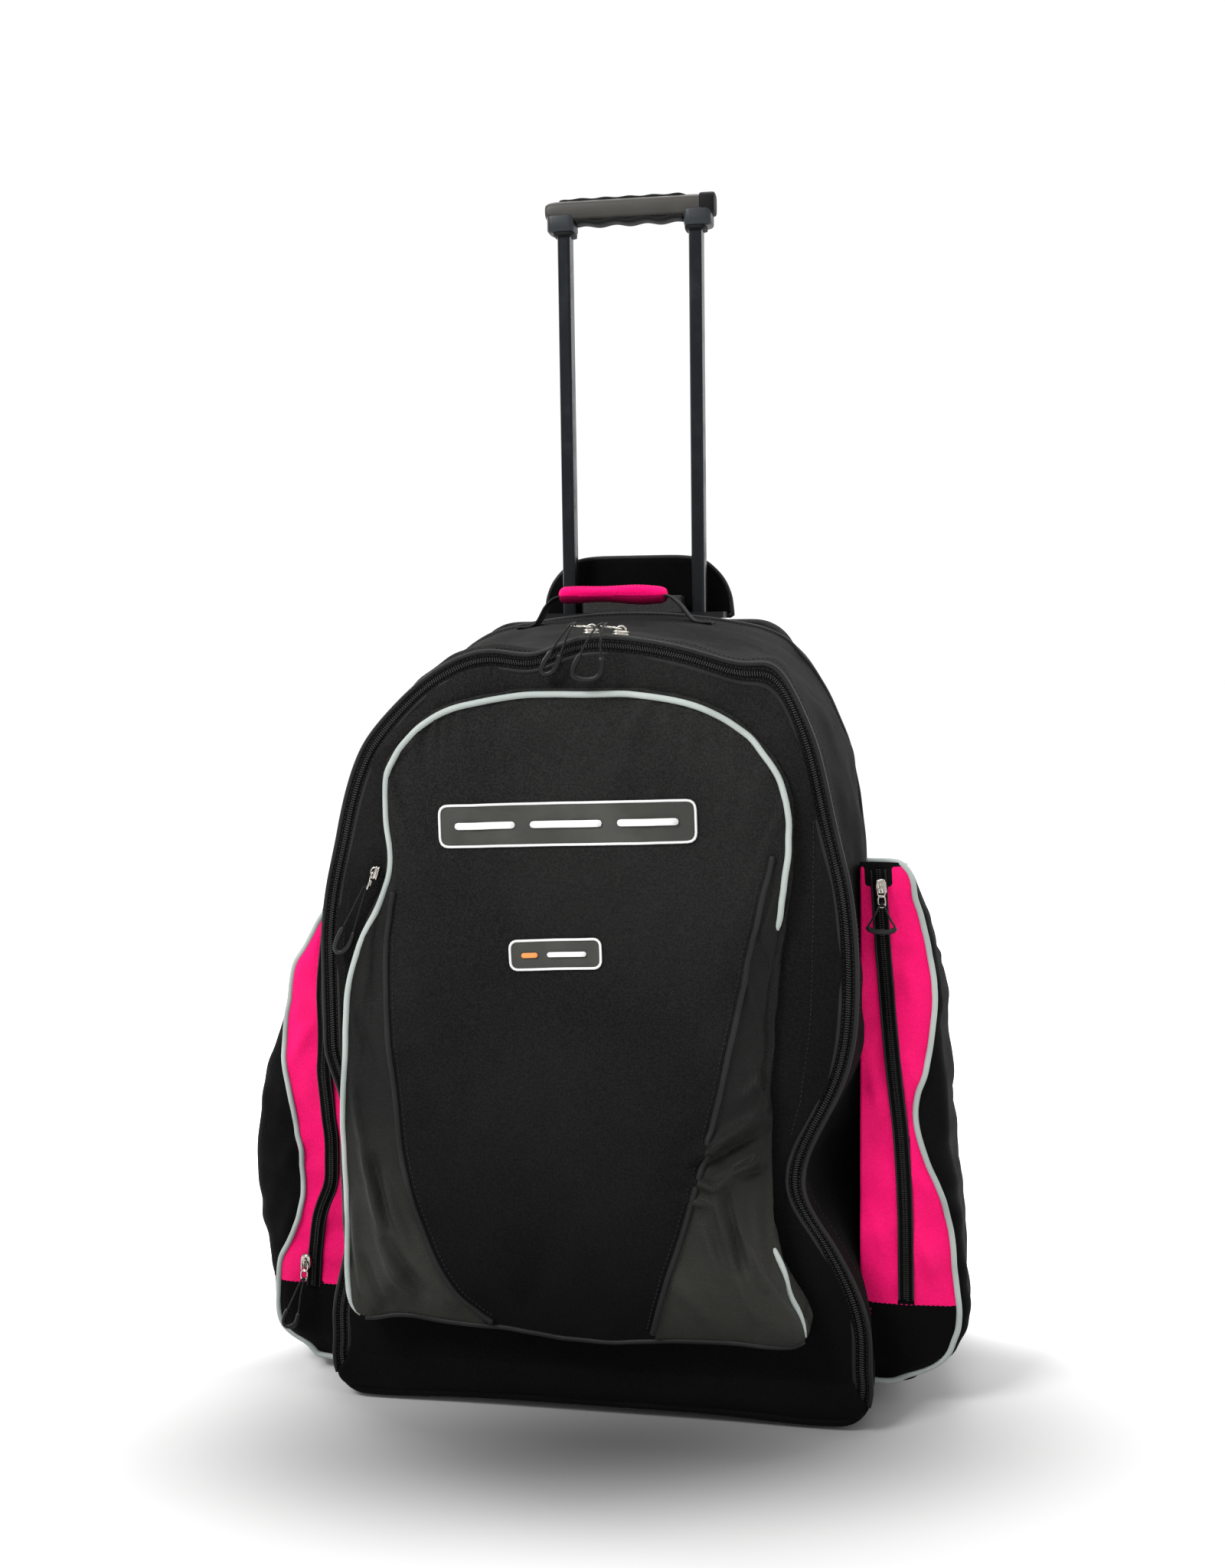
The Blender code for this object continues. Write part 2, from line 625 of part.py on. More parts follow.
def carry_handle():
    y, foot, bar = 0.065, 0.7044, 0.7235
    half_thick = 0.00125
    middle_line = [(-0.105, foot), (-0.086, foot), (-0.068, bar), (0.050, bar), (0.070, foot), (0.089, foot)]
    upper = [(x, z + half_thick) for x, z in middle_line]
    lower = [(x, z - half_thick) for x, z in reversed(middle_line)]
    plate("carry_webbing", [upper + lower], 0.0125, "black_fabric", upright(y))
    outer = rounded((-0.0160, -0.0090), (0.0160, 0.0090), 0.0070)
    hole = rounded((-0.0133, -0.0024), (0.0133, 0.0024), 0.0010, 1)
    place = Matrix.Translation((-0.009, y, bar)) @ Matrix.Rotation(math.radians(90), 4, "Z")
    plate("carry_wrap", [outer, hole], 0.0540, "pink_fabric", place @ Matrix.Rotation(math.radians(90), 4, "X"))


# --- Zip sliders, their tabs and their cord pulls -----------------------------------------------------------
def frame_at(origin, along, out):
    """A matrix with its X along the zip, its Z away from the cloth, at origin."""
    x_axis = Vector(along).normalized()
    z_axis = Vector(out).normalized()
    y_axis = z_axis.cross(x_axis)
    turned_to = Matrix((x_axis, y_axis, z_axis)).transposed().to_4x4()
    return Matrix.Translation(origin) @ turned_to


def zip_slider(label, origin, along, out):
    """A slider with its bail, and the tab that hangs from the bail and points along the zip."""
    place = frame_at(origin, along, out)
    slider = box(f"slider_{label}", (-0.0060, -0.0048, 0.0005), (0.0060, 0.0048, 0.0042), "nickel", 0.0012, 1)
    bail = box(f"slider_{label}_bail", (-0.0030, -0.0012, 0.0035), (0.0030, 0.0012, 0.0078), "nickel", where=CUTTERS)
    tab = box(f"pull_tab_{label}", (0.0038, -0.0030, 0.0054), (TAB_END, 0.0030, 0.0070), "nickel")
    eye = cylinder(
        f"pull_tab_{label}_eye", 0.0016, (EYE[0], 0, 0.003), (EYE[0], 0, 0.010), "nickel", 12, CUTTERS
    )
    for piece in (slider, bail, tab, eye):
        bpy.context.view_layer.update()
        piece.matrix_world = place @ piece.matrix_world
    boolean(slider, bail, "UNION")
    boolean(tab, eye)
    return place


def cord_pull(label, place, route):
    """A cord loop from the tab's eye and back, with a thick moulded end. route is (offset, share of the radius)."""
    eye = place @ Vector(EYE)
    points, fat = [], []
    for offset, share in route:
        points.append(eye + Vector(offset))
        fat.append(share)
    wire(f"cord_pull_{label}", smooth(points), CORD_R, "cord", smooth_values(fat), 2)


def smooth(points, parts=3):
    """Points on a Catmull-Rom curve through the given ones."""
    made = []
    for i in range(len(points) - 1):
        p0, p1, p2, p3 = (points[max(0, min(len(points) - 1, i + k))] for k in (-1, 0, 1, 2))
        for step in range(parts):
            t = step / parts
            made.append(
                0.5 * (2 * p1 + (p2 - p0) * t + (2 * p0 - 5 * p1 + 4 * p2 - p3) * t * t
                       + (3 * p1 - p0 - 3 * p2 + p3) * t * t * t)
            )
    return made + [points[-1]]


def smooth_values(values, parts=3):
    made = []
    for a, b in zip(values, values[1:]):
        made += [a + (b - a) * step / parts for step in range(parts)]
    return made + [values[-1]]


def loop_route(lean, drop, wide, out):
    """A hanging loop: two strands that part, and a moulded U. lean is its sideways drift, out its forward one."""
    shape = [(0.15, 0.0, 1), (0.25, 0.06, 1), (0.45, 0.28, 1), (0.80, 0.62, 1), (1.0, 0.78, 2), (0.92, 0.93, 2),
             (0.45, 1.0, 2), (-0.35, 1.0, 2), (-0.90, 0.92, 2), (-1.0, 0.78, 2), (-0.80, 0.60, 1),
             (-0.45, 0.28, 1), (-0.25, 0.06, 1), (-0.15, 0.0, 1)]
    route = []
    for across, down, share in shape:
        forward = out * min(1.0, down * 10.0)
        route.append(((across * wide / 2 + lean * down, -forward, -drop * down), share))
    return route


def zips():
    for label, x, lean, wide, drop, out_by in (("main_right", MAIN_SLIDERS[1], -0.012, 0.024, 0.046, 0.025),
                                               ("main_left", MAIN_SLIDERS[0], -0.022, 0.012, 0.042, 0.017)):
        angle = math.asin(x / ZIP_ARC_R)
        out = Vector((math.sin(angle), 0.0, math.cos(angle)))
        origin = Vector((0.0, ZIP_Y, ZIP_ARC_Z)) + out * ZIP_ARC_R
        place = zip_slider(label, origin, (-out.z, 0.0, out.x), out)
        cord_pull(label, place, loop_route(lean, drop, wide, out_by))
    (top_x, top_z), (low_x, low_z) = SIDE_ZIP_TOP, SIDE_ZIP_BOTTOM
    for side_name, side in sides():
        down = Vector((side * (low_x - top_x), 0.0, low_z - top_z)).normalized()
        top = Vector((side * top_x, SIDE_FRONT_Y - CLEAR - 0.0016, top_z))
        bottom = Vector((side * low_x, top.y, low_z))
        origin = top + down * 0.008 if side > 0 else bottom - down * 0.006
        place = zip_slider("side_" + side_name, origin, down, (0.0, -1.0, 0.0))
        lean, wide, drop = (0.0, 0.022, 0.022) if side > 0 else (-0.014, 0.013, 0.044)
        cord_pull("side_" + side_name, place, loop_route(lean, drop, wide, 0.004))
    start, end = Vector((-0.1715, 0.0, 0.497)), Vector((-0.2120, 0.0, 0.365))
    down = (end - start).normalized()
    out = Vector((down.z, 0.0, -down.x))
    origin = start + down * 0.012 + Vector((0.0, -0.1745, 0.0)) + out * 0.0004
    place = zip_slider("front_pocket", origin, down, out)
    cord_pull("front_pocket", place, loop_route(-0.0250, 0.058, 0.013, 0.001))


def main():
    body_shell()
    boards()
    back_cover()
    shoulder_straps()
    front_door()
    main_zip()
    side_pockets()
    chassis()
    wheels()
    handle()
    bezel()
    cover_flap()
    carry_handle()
    zips()


main()
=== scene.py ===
"""The looks of the wheeled skate bag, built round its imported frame, in metres and in the frame's axes."""

import json
import math

import bmesh
import bpy
import numpy as np
from mathutils import Matrix, Vector, noise
from mathutils.bvhtree import BVHTree
from mathutils.kdtree import KDTree


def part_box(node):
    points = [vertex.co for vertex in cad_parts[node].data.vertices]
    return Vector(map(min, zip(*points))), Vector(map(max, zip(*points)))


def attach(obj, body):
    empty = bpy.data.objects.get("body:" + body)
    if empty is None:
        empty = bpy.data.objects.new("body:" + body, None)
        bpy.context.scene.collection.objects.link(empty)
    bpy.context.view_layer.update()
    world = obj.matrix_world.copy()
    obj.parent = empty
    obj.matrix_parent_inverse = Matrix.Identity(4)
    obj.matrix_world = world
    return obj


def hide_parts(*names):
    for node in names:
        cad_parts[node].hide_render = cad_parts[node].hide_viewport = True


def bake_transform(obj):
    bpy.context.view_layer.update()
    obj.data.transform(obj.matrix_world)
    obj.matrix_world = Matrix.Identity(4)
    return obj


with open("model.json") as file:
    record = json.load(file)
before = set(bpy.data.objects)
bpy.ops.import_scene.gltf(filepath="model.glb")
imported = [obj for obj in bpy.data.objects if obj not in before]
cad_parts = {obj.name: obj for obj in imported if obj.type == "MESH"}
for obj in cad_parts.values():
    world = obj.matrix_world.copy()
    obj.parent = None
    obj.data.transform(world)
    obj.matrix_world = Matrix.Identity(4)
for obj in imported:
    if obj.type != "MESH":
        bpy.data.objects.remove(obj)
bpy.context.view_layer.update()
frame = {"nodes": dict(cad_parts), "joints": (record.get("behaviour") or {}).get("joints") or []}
SCENE = bpy.context.scene

# --- Places read from the frame -----------------------------------------------------------------------------
SHELL_LOW, SHELL_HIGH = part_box("body_shell")
POCKET_LOW, POCKET_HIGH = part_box("front_pocket")
COVER_LOW, COVER_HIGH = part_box("back_cover")
GRIP_LOW, GRIP_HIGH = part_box("grip_shell")
FLAP_LOW, FLAP_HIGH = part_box("handle_cover_flap")
JOINTS = {joint["name"]: joint for joint in frame["joints"]}

# --- The bag's own dimensions, as in part.py ------------------------------------------------------------------
TOP_FRONT = 0.690
TOP_BACK = 0.705
FRONT_CORNER_R = 0.034
BACK_CORNER_R = 0.040
FRONT_ARCS = ((0.360, 20), (0.150, 45), (0.300, 25))
BACK_ARCS = ((0.600, 12), (0.090, 50), (0.397, 28))
BAND_OUTER, BAND_COIL, BAND_INNER = 0.0015, 0.0085, 0.0155   # how far in the zip band's three lines run
ZIP_PLANE = -0.1600


# --- Materials ----------------------------------------------------------------------------------------------
def feed(tree, target, inputs):
    """Links a node's inputs to sockets, or sets them to values."""
    for where, value in inputs.items():
        if isinstance(value, bpy.types.NodeSocket):
            tree.links.new(value, target.inputs[where])
        else:
            target.inputs[where].default_value = value
    return target


def node(tree, kind, props=None, **inputs):
    """A new node. An input is given as i and its number, or by its name with _ for a space."""
    made = tree.nodes.new(kind)
    for key, value in (props or {}).items():
        setattr(made, key, value)
    names = [int(key[1:]) if key[1:].isdigit() else key.replace("_", " ").title() for key in inputs]
    return feed(tree, made, dict(zip(names, inputs.values())))


def calc(tree, operation, a, b=0.0, c=0.0):
    return node(tree, "ShaderNodeMath", {"operation": operation}, i0=a, i1=b, i2=c).outputs[0]


def mix(tree, factor, a, b):
    a, b = (value if isinstance(value, bpy.types.NodeSocket) else (*value, 1.0) for value in (a, b))
    return node(tree, "ShaderNodeMix", {"data_type": "RGBA"}, i0=factor, i6=a, i7=b).outputs[2]


def ramp(tree, value, low, high, start=0.0, end=1.0, kind="SMOOTHSTEP"):
    """A value from low to high, mapped to start and end."""
    props = {"interpolation_type": kind}
    return node(tree, "ShaderNodeMapRange", props, i0=value, i1=low, i2=high, i3=start, i4=end).outputs[0]


def cloud(tree, coords, scale, detail, distortion=0.0):
    made = node(tree, "ShaderNodeTexNoise", Vector=coords, Scale=scale, Detail=detail, Distortion=distortion)
    return made.outputs["Fac"]


def patches(tree, coords, scale, detail=3.0, low=0.35, high=0.65):
    """Soft random patches from 0 to 1."""
    return ramp(tree, cloud(tree, coords, scale, detail), low, high)


def blank(name):
    made = bpy.data.materials.new(name)
    made.use_nodes = True
    tree = made.node_tree
    return made, tree, tree.nodes["Principled BSDF"], node(tree, "ShaderNodeTexCoord").outputs["Object"]


def weave(tree, coords, pitch):
    """The over and under of a plain weave: on each face, threads along the two axes the face runs in."""
    parts = node(tree, "ShaderNodeSeparateXYZ", Vector=coords).outputs
    facing_to = node(tree, "ShaderNodeTexCoord").outputs["Normal"]
    total = None
    for part, lean in zip(parts, node(tree, "ShaderNodeSeparateXYZ", Vector=facing_to).outputs):
        turn = calc(tree, "SINE", calc(tree, "MULTIPLY", part, 2 * math.pi / pitch))
        share = calc(tree, "SUBTRACT", 1.0, calc(tree, "POWER", calc(tree, "ABSOLUTE", lean), 0.5))
        turn = calc(tree, "MULTIPLY", turn, share)
        total = calc(tree, "ADD", total, turn) if total else turn
    return total


def bumps(tree, shader, layers):
    """Chains bump layers of (height, strength, distance) into a shader."""
    normal = None
    for height, strength, distance in layers:
        made = node(tree, "ShaderNodeBump", Height=height, Strength=strength, Distance=distance)
        if normal:
            tree.links.new(normal, made.inputs["Normal"])
        normal = made.outputs["Normal"]
    tree.links.new(normal, shader.inputs["Normal"])


CLOTH_GLOSS = 0.022


def fabric(name, dark, light, rough, sheen, pitch=0.0011, grain=0.5, creases=0.25, masked=None):
    """Woven cloth, painted lighter high up and darker towards the sides: painted light and shade.

    masked is a second cloth, shown where its attribute is above 0, painted lighter low down, where it faces up:
    painted light, by an amount one of its entries gives. Its share is how much of the first cloth's mottling it
    has.
    """
    made, tree, shader, coords = blank(name)
    threads = weave(tree, coords, pitch)
    speckle = patches(tree, coords, 620.0, 2.0, 0.34, 0.66)
    worn = patches(tree, coords, 7.0, 4.0)
    fleck = calc(tree, "MULTIPLY_ADD", speckle, 0.28, calc(tree, "MULTIPLY_ADD", threads, 0.09, 0.21))
    tone = calc(tree, "MULTIPLY_ADD", worn, 0.13, calc(tree, "MULTIPLY", fleck, 0.9))
    across, _, height = node(tree, "ShaderNodeSeparateXYZ", Vector=coords).outputs
    # painted light and shade: lighter high up, darker towards the sides, where the cloth turns from the lamps
    lit_high = ramp(tree, height, 0.12, 0.62, 0.14, 1.15, "LINEAR")
    shaded_aside = ramp(tree, calc(tree, "ABSOLUTE", across), 0.16, 0.235, 1.0, 0.5, "LINEAR")
    painted_light = calc(tree, "MULTIPLY", lit_high, shaded_aside)
    colour = mix(tree, calc(tree, "MULTIPLY", tone, painted_light), dark, light)
    uneven = patches(tree, coords, 22.0)
    roughness = calc(tree, "MULTIPLY_ADD", uneven, 0.12, rough - 0.06)
    gloss = CLOTH_GLOSS
    if masked:
        side = node(tree, "ShaderNodeAttribute", {"attribute_name": masked["attribute"]}).outputs["Fac"]
        over = calc(tree, "GREATER_THAN", side, 0.0)
        # painted light: the masked cloth lighter low down, where it faces up
        lit_low = ramp(tree, height, 0.30, 0.12)
        mottled = calc(tree, "MULTIPLY", tone, masked["share"])
        other_tone = calc(tree, "MULTIPLY_ADD", lit_low, masked["painted_low_light"], mottled)
        colour = mix(tree, over, colour, mix(tree, other_tone, masked["dark"], masked["light"]))
        other = calc(tree, "MULTIPLY_ADD", uneven, 0.14, masked["rough"] - 0.07)
        roughness = calc(tree, "MULTIPLY_ADD", over, calc(tree, "SUBTRACT", other, roughness), roughness)
        gloss = calc(tree, "MULTIPLY_ADD", over, masked["gloss"] - CLOTH_GLOSS, CLOTH_GLOSS)
    feed(tree, shader, {"Base Color": colour, "Roughness": roughness, "Specular IOR Level": gloss,
                        "Sheen Weight": sheen, "Sheen Roughness": 0.45})
    crumple = cloud(tree, coords, 26.0, 5.0, 0.6)
    bumps(tree, shader, [(crumple, creases, 0.004), (threads, grain, 0.00022), (speckle, 0.5, 0.0003)])
    return made


def satin(name, dark, light, rough):
    """Coated satin: smooth, with a soft broad gloss and crushed marks."""
    made, tree, shader, coords = blank(name)
    crushed = cloud(tree, coords, 38.0, 6.0, 1.2)
    soft = calc(tree, "MULTIPLY", patches(tree, coords, 14.0), 0.5)
    tone = calc(tree, "MULTIPLY_ADD", cloud(tree, coords, 1600.0, 1.0), 0.4, soft)
    roughness = calc(tree, "MULTIPLY_ADD", crushed, 0.2, rough - 0.1)
    feed(tree, shader, {"Base Color": mix(tree, tone, dark, light), "Roughness": roughness,
                        "Specular IOR Level": 0.12, "Sheen Weight": 0.02})
    bumps(tree, shader, [(crushed, 0.3, 0.003), (weave(tree, coords, 0.0008), 0.25, 0.0001)])
    return made


def solid(name, dark, light, rough, metallic=0.0, bump=0.15, size=900.0, gloss=0.2):
    """Moulded plastic, rubber or metal with a fine grain, lightly rubbed patches and uneven gloss."""
    made, tree, shader, coords = blank(name)
    grain = cloud(tree, coords, size, 3.0)
    rubbed = patches(tree, coords, 30.0, 6.0, 0.45, 0.75)
    tone = calc(tree, "MULTIPLY_ADD", grain, 0.35, calc(tree, "MULTIPLY", rubbed, 0.45))
    roughness = calc(tree, "MULTIPLY_ADD", rubbed, 0.14, rough - 0.05)
    feed(tree, shader, {"Base Color": mix(tree, tone, dark, light), "Roughness": roughness,
                        "Metallic": metallic, "Specular IOR Level": gloss})
    bumps(tree, shader, [(grain, bump, 0.0003)])
    return made


def ribbed(name, dark, light, rough, pitch, axis):
    """Webbing or braid: ribs across one axis and a fine weave."""
    made, tree, shader, coords = blank(name)
    parts = node(tree, "ShaderNodeSeparateXYZ", Vector=coords).outputs
    ribs = calc(tree, "SINE", calc(tree, "MULTIPLY", parts[axis], 2 * math.pi / pitch))
    fine = calc(tree, "MULTIPLY", cloud(tree, coords, 1200.0, 2.0), 0.6)
    tone = calc(tree, "MULTIPLY_ADD", ribs, 0.2, fine)
    feed(tree, shader, {"Base Color": mix(tree, tone, dark, light), "Roughness": rough,
                        "Specular IOR Level": 0.1, "Sheen Weight": 0.02})
    bumps(tree, shader, [(ribs, 0.6, 0.0004), (weave(tree, coords, 0.0009), 0.3, 0.0002)])
    return made


CANVAS = fabric("canvas", (0.0013, 0.0013, 0.0014), (0.0190, 0.0187, 0.0182), 0.80, 0.015)
BAND = fabric("zip_tape", (0.0013, 0.0013, 0.0015), (0.0110, 0.0110, 0.0110), 0.72, 0.01, 0.0014, 0.8, 0.1)
COVER = fabric("cover_cloth", (0.0008, 0.0008, 0.0010), (0.0028, 0.0028, 0.0030), 0.85, 0.004)
# Its charcoal panels are painted lighter low down, where they face up: painted light.
FRONT = fabric(
    "front_cloth", (0.0014, 0.0014, 0.0015), (0.0240, 0.0238, 0.0232), 0.82, 0.015,
    masked=dict(attribute="charcoal", dark=(0.0028, 0.0032, 0.0030), light=(0.0240, 0.0238, 0.0205), rough=0.40,
                gloss=0.065, painted_low_light=0.60, share=0.25),
)
SIDE = fabric(
    "side_cloth", (0.0013, 0.0013, 0.0014), (0.0140, 0.0138, 0.0134), 0.80, 0.015,
    masked=dict(attribute="pink", dark=(0.47, 0.0006, 0.070), light=(0.68, 0.0040, 0.125), rough=0.74,
                gloss=0.10, painted_low_light=0.0, share=1.0),
)
PINK = fabric("pink_cloth", (0.47, 0.0006, 0.070), (0.70, 0.0050, 0.130), 0.75, 0.02, 0.0009, 0.6, 0.3)
# A darker copy of pink_cloth for the carry wrap's lower half: painted shade.
PINK_SHADED = fabric(
    "pink_painted_shade", (0.16, 0.0004, 0.026), (0.26, 0.0020, 0.050), 0.78, 0.02, 0.0009, 0.6, 0.3
)
LINING = fabric("lining", (0.016, 0.016, 0.016), (0.048, 0.048, 0.047), 0.75, 0.02)
WEBBING = ribbed("webbing", (0.0025, 0.0025, 0.0025), (0.012, 0.012, 0.012), 0.65, 0.0017, 0)
PIPING = satin("piping", (0.18, 0.205, 0.195), (0.29, 0.315, 0.30), 0.42)
BLACK_PIPING = satin("black_piping", (0.0025, 0.0025, 0.0027), (0.0100, 0.0100, 0.0100), 0.50)
BORDER = satin("patch_border", (0.42, 0.43, 0.42), (0.56, 0.57, 0.56), 0.45)
PATCH = satin("patch_cloth", (0.0190, 0.0190, 0.0170), (0.045, 0.045, 0.041), 0.50)
ACCENT = satin("patch_accent", (0.50, 0.15, 0.035), (0.60, 0.22, 0.07), 0.5)
THREAD = satin("thread", (0.006, 0.006, 0.006), (0.018, 0.018, 0.018), 0.55)
PINK_THREAD = satin("pink_thread", (0.26, 0.003, 0.06), (0.42, 0.006, 0.10), 0.55)
CORD = ribbed("cord", (0.003, 0.003, 0.003), (0.014, 0.014, 0.014), 0.60, 0.0012, 2)
MOULDED = solid("moulded_black", (0.0040, 0.0040, 0.0042), (0.0140, 0.0140, 0.0145), 0.48, gloss=0.12)
PULL_END = solid("pull_end", (0.0040, 0.0040, 0.0040), (0.0150, 0.0150, 0.0145), 0.40, gloss=0.12)
GRIP = solid("grip_grey", (0.018, 0.017, 0.0145), (0.036, 0.034, 0.030), 0.50, bump=0.35, size=1500.0)
BRACKET = solid("grip_bracket", (0.008, 0.010, 0.0115), (0.019, 0.022, 0.025), 0.46)
SOFT_GRIP = solid("grip_pad", (0.0030, 0.0030, 0.0030), (0.0110, 0.0110, 0.0110), 0.60, gloss=0.06)
TUBE = solid("dark_tube", (0.0040, 0.0050, 0.0062), (0.0110, 0.0130, 0.0155), 0.34, 0.5, 0.05)
STEEL = solid("steel", (0.22, 0.22, 0.23), (0.34, 0.34, 0.34), 0.34, 1.0, 0.08)
NICKEL = solid("nickel", (0.26, 0.245, 0.22), (0.50, 0.48, 0.44), 0.26, 1.0, 0.05)
BOARD = solid("board", (0.006, 0.006, 0.006), (0.018, 0.018, 0.018), 0.60)
TYRE = solid("tyre", (0.0050, 0.0050, 0.0052), (0.017, 0.017, 0.017), 0.68, bump=0.4, size=700.0, gloss=0.1)
HUB = solid("hub", (0.022, 0.022, 0.024), (0.050, 0.050, 0.053), 0.45)
COIL = solid("zip_coil", (0.0030, 0.0030, 0.0032), (0.0140, 0.0140, 0.0140), 0.38)


# --- Meshes -------------------------------------------------------------------------------------------------
def add(name, verts, faces, material):
    """A mesh object, smooth, with its faces pointing out."""
    mesh = bpy.data.meshes.new(name)
    mesh.from_pydata([tuple(map(float, v)) for v in verts], [], [tuple(map(int, f)) for f in faces])
    bm = bmesh.new()
    bm.from_mesh(mesh)
    bmesh.ops.recalc_face_normals(bm, faces=bm.faces)
    bm.to_mesh(mesh)
    bm.free()
    mesh.shade_smooth()
    mesh.materials.append(material)
    made = bpy.data.objects.new(name, mesh)
    SCENE.collection.objects.link(made)
    return made


def grid(name, rows, material, around=False, ends=False):
    """A skin through rows of points. around joins each row's ends, and ends closes the first and last rows."""
    rows = np.asarray(rows, float)
    count, wide = rows.shape[:2]
    at = np.arange(count * wide).reshape(count, wide)
    nxt = np.roll(at, -1, axis=1)
    faces = []
    for i in range(count - 1):
        for j in range(wide if around else wide - 1):
            faces.append((at[i, j], nxt[i, j], nxt[i + 1, j], at[i + 1, j]))
    if ends:
        faces += [list(at[0][::-1]), list(at[-1])]
    return add(name, rows.reshape(-1, 3), faces, material)


def wall(obj, thickness, offset=-1.0):
    made = obj.modifiers.new("wall", "SOLIDIFY")
    made.thickness = thickness
    made.offset = offset
    return obj


def subdivide(obj, levels=1):
    made = obj.modifiers.new("fine", "SUBSURF")
    made.use_limit_surface = False
    made.levels = made.render_levels = levels
    return obj


def baked(obj):
    """Applies an object's modifiers."""
    bpy.context.view_layer.update()
    evaluated = obj.evaluated_get(bpy.context.evaluated_depsgraph_get())
    mesh = bpy.data.meshes.new_from_object(evaluated)
    obj.modifiers.clear()
    obj.data = mesh
    return obj


def coordinates(obj):
    flat = np.empty(len(obj.data.vertices) * 3)
    obj.data.vertices.foreach_get("co", flat)
    return flat.reshape(-1, 3)


def set_coordinates(obj, points):
    obj.data.vertices.foreach_set("co", np.asarray(points, float).ravel())
    obj.data.update()


def mark(obj, name, values):
    """Gives each vertex a value that a material can read."""
    made = obj.data.attributes.new(name, "FLOAT", "POINT")
    made.data.foreach_set("value", values.astype(np.float32))


def through(points, count):
    """count points, evenly spaced, on a smooth curve through the given ones."""
    points = np.asarray(points, float)
    ends = np.vstack([2 * points[0] - points[1], points, 2 * points[-1] - points[-2]])
    dense = []
    for p0, p1, p2, p3 in zip(ends, ends[1:], ends[2:], ends[3:]):
        for t in np.linspace(0, 1, 16, endpoint=False):
            dense.append(0.5 * (2 * p1 + (p2 - p0) * t + (2 * p0 - 5 * p1 + 4 * p2 - p3) * t**2
                                + (3 * p1 - p0 - 3 * p2 + p3) * t**3))
    return spaced(np.array(dense + [points[-1]]), count)


def run_along(points):
    """How far along a line each of its points is."""
    return np.concatenate([[0], np.cumsum(np.linalg.norm(np.diff(points, axis=0), axis=1))])


def at_run(wanted, run, values):
    """Values read at a distance, or at many, along a line."""
    return np.stack([np.interp(wanted, run, column) for column in values.T], axis=-1)


def spaced(points, count, closed=False):
    """The same line with count evenly spaced points."""
    points = np.asarray(points, float)
    if closed:
        points = np.vstack([points, points[:1]])
    run = run_along(points)
    return at_run(np.linspace(0, run[-1], count, endpoint=not closed), run, points)


def turns(count):
    """Angles evenly round a circle."""
    return np.linspace(0, 2 * np.pi, count, endpoint=False)


def squared(turn, power):
    """The cosines and the sines of angles, squared off by a power below 1."""
    return [np.sign(value) * np.abs(value) ** power for value in (np.cos(turn), np.sin(turn))]


def inset(loop, distance):
    """A closed (x, z) loop that runs clockwise, moved inwards."""
    along = np.roll(loop, -1, axis=0) - np.roll(loop, 1, axis=0)
    along /= np.linalg.norm(along, axis=1)[:, None]
    return loop + np.stack([along[:, 1], -along[:, 0]], axis=1) * distance


def ease(value):
    value = np.clip(value, 0, 1)
    return value * value * (3 - 2 * value)


def hump(value, centre, width):
    return np.exp(-(((value - centre) / width) ** 2))


def rumple(points, size, height, seed):
    """Smooth random heights at points, with features of about that size."""
    shift = Vector((seed * 7.3, seed * 3.1, seed * 5.7))
    return np.array([noise.noise(Vector(p) / size + shift) for p in points]) * height


def creased(points, lines, normal_axis=1, sign=-1.0):
    """Raises ridges, or presses valleys, along lines of (a, b, width, height) given in the other two axes."""
    moved = points.copy()
    flat = np.delete(points, normal_axis, axis=1)
    for a, b, width, height in lines:
        a, b = np.array(a), np.array(b)
        run = b - a
        t = np.clip(((flat - a) @ run) / (run @ run), 0, 1)
        away = np.linalg.norm(flat - (a + t[:, None] * run), axis=1)
        taper = np.sin(np.pi * np.clip(t * 0.9 + 0.05, 0, 1)) ** 0.6
        moved[:, normal_axis] += sign * height * taper * np.exp(-((away / width) ** 2))
    return moved


def frames_along(points, closed=False):
    """Unit tangents of a line of points."""
    points = np.asarray(points, float)
    if closed:
        along = np.roll(points, -1, axis=0) - np.roll(points, 1, axis=0)
    else:
        along = np.gradient(points, axis=0)
    return along / np.maximum(np.linalg.norm(along, axis=1), 1e-9)[:, None]


def rod(name, points, radius, material, sides=8, closed=False, radii=None):
    """A round bar along points, as a mesh."""
    points = np.asarray(points, float)
    along = frames_along(points, closed)
    guide = np.array([0.0, 1.0, 0.0]) if abs(along[:, 1]).max() < 0.9 else np.array([1.0, 0.0, 0.0])
    side = np.cross(along, guide)
    side /= np.maximum(np.linalg.norm(side, axis=1), 1e-9)[:, None]
    up = np.cross(side, along)
    size = np.full(len(points), radius) if radii is None else np.asarray(radii)
    turn = turns(sides)
    ring = np.cos(turn)[None, :, None] * side[:, None] + np.sin(turn)[None, :, None] * up[:, None]
    rows = points[:, None] + ring * size[:, None, None]
    if closed:
        return close_ring(grid(name, rows, material, around=True), len(points), sides)
    return grid(name, rows, material, around=True, ends=True)


def edit(obj, change):
    """Lets a function edit an object's mesh, then points its faces out."""
    bm = bmesh.new()
    bm.from_mesh(obj.data)
    bm.verts.ensure_lookup_table()
    change(bm)
    bmesh.ops.recalc_face_normals(bm, faces=bm.faces)
    bm.to_mesh(obj.data)
    bm.free()
    obj.data.shade_smooth()
    return obj


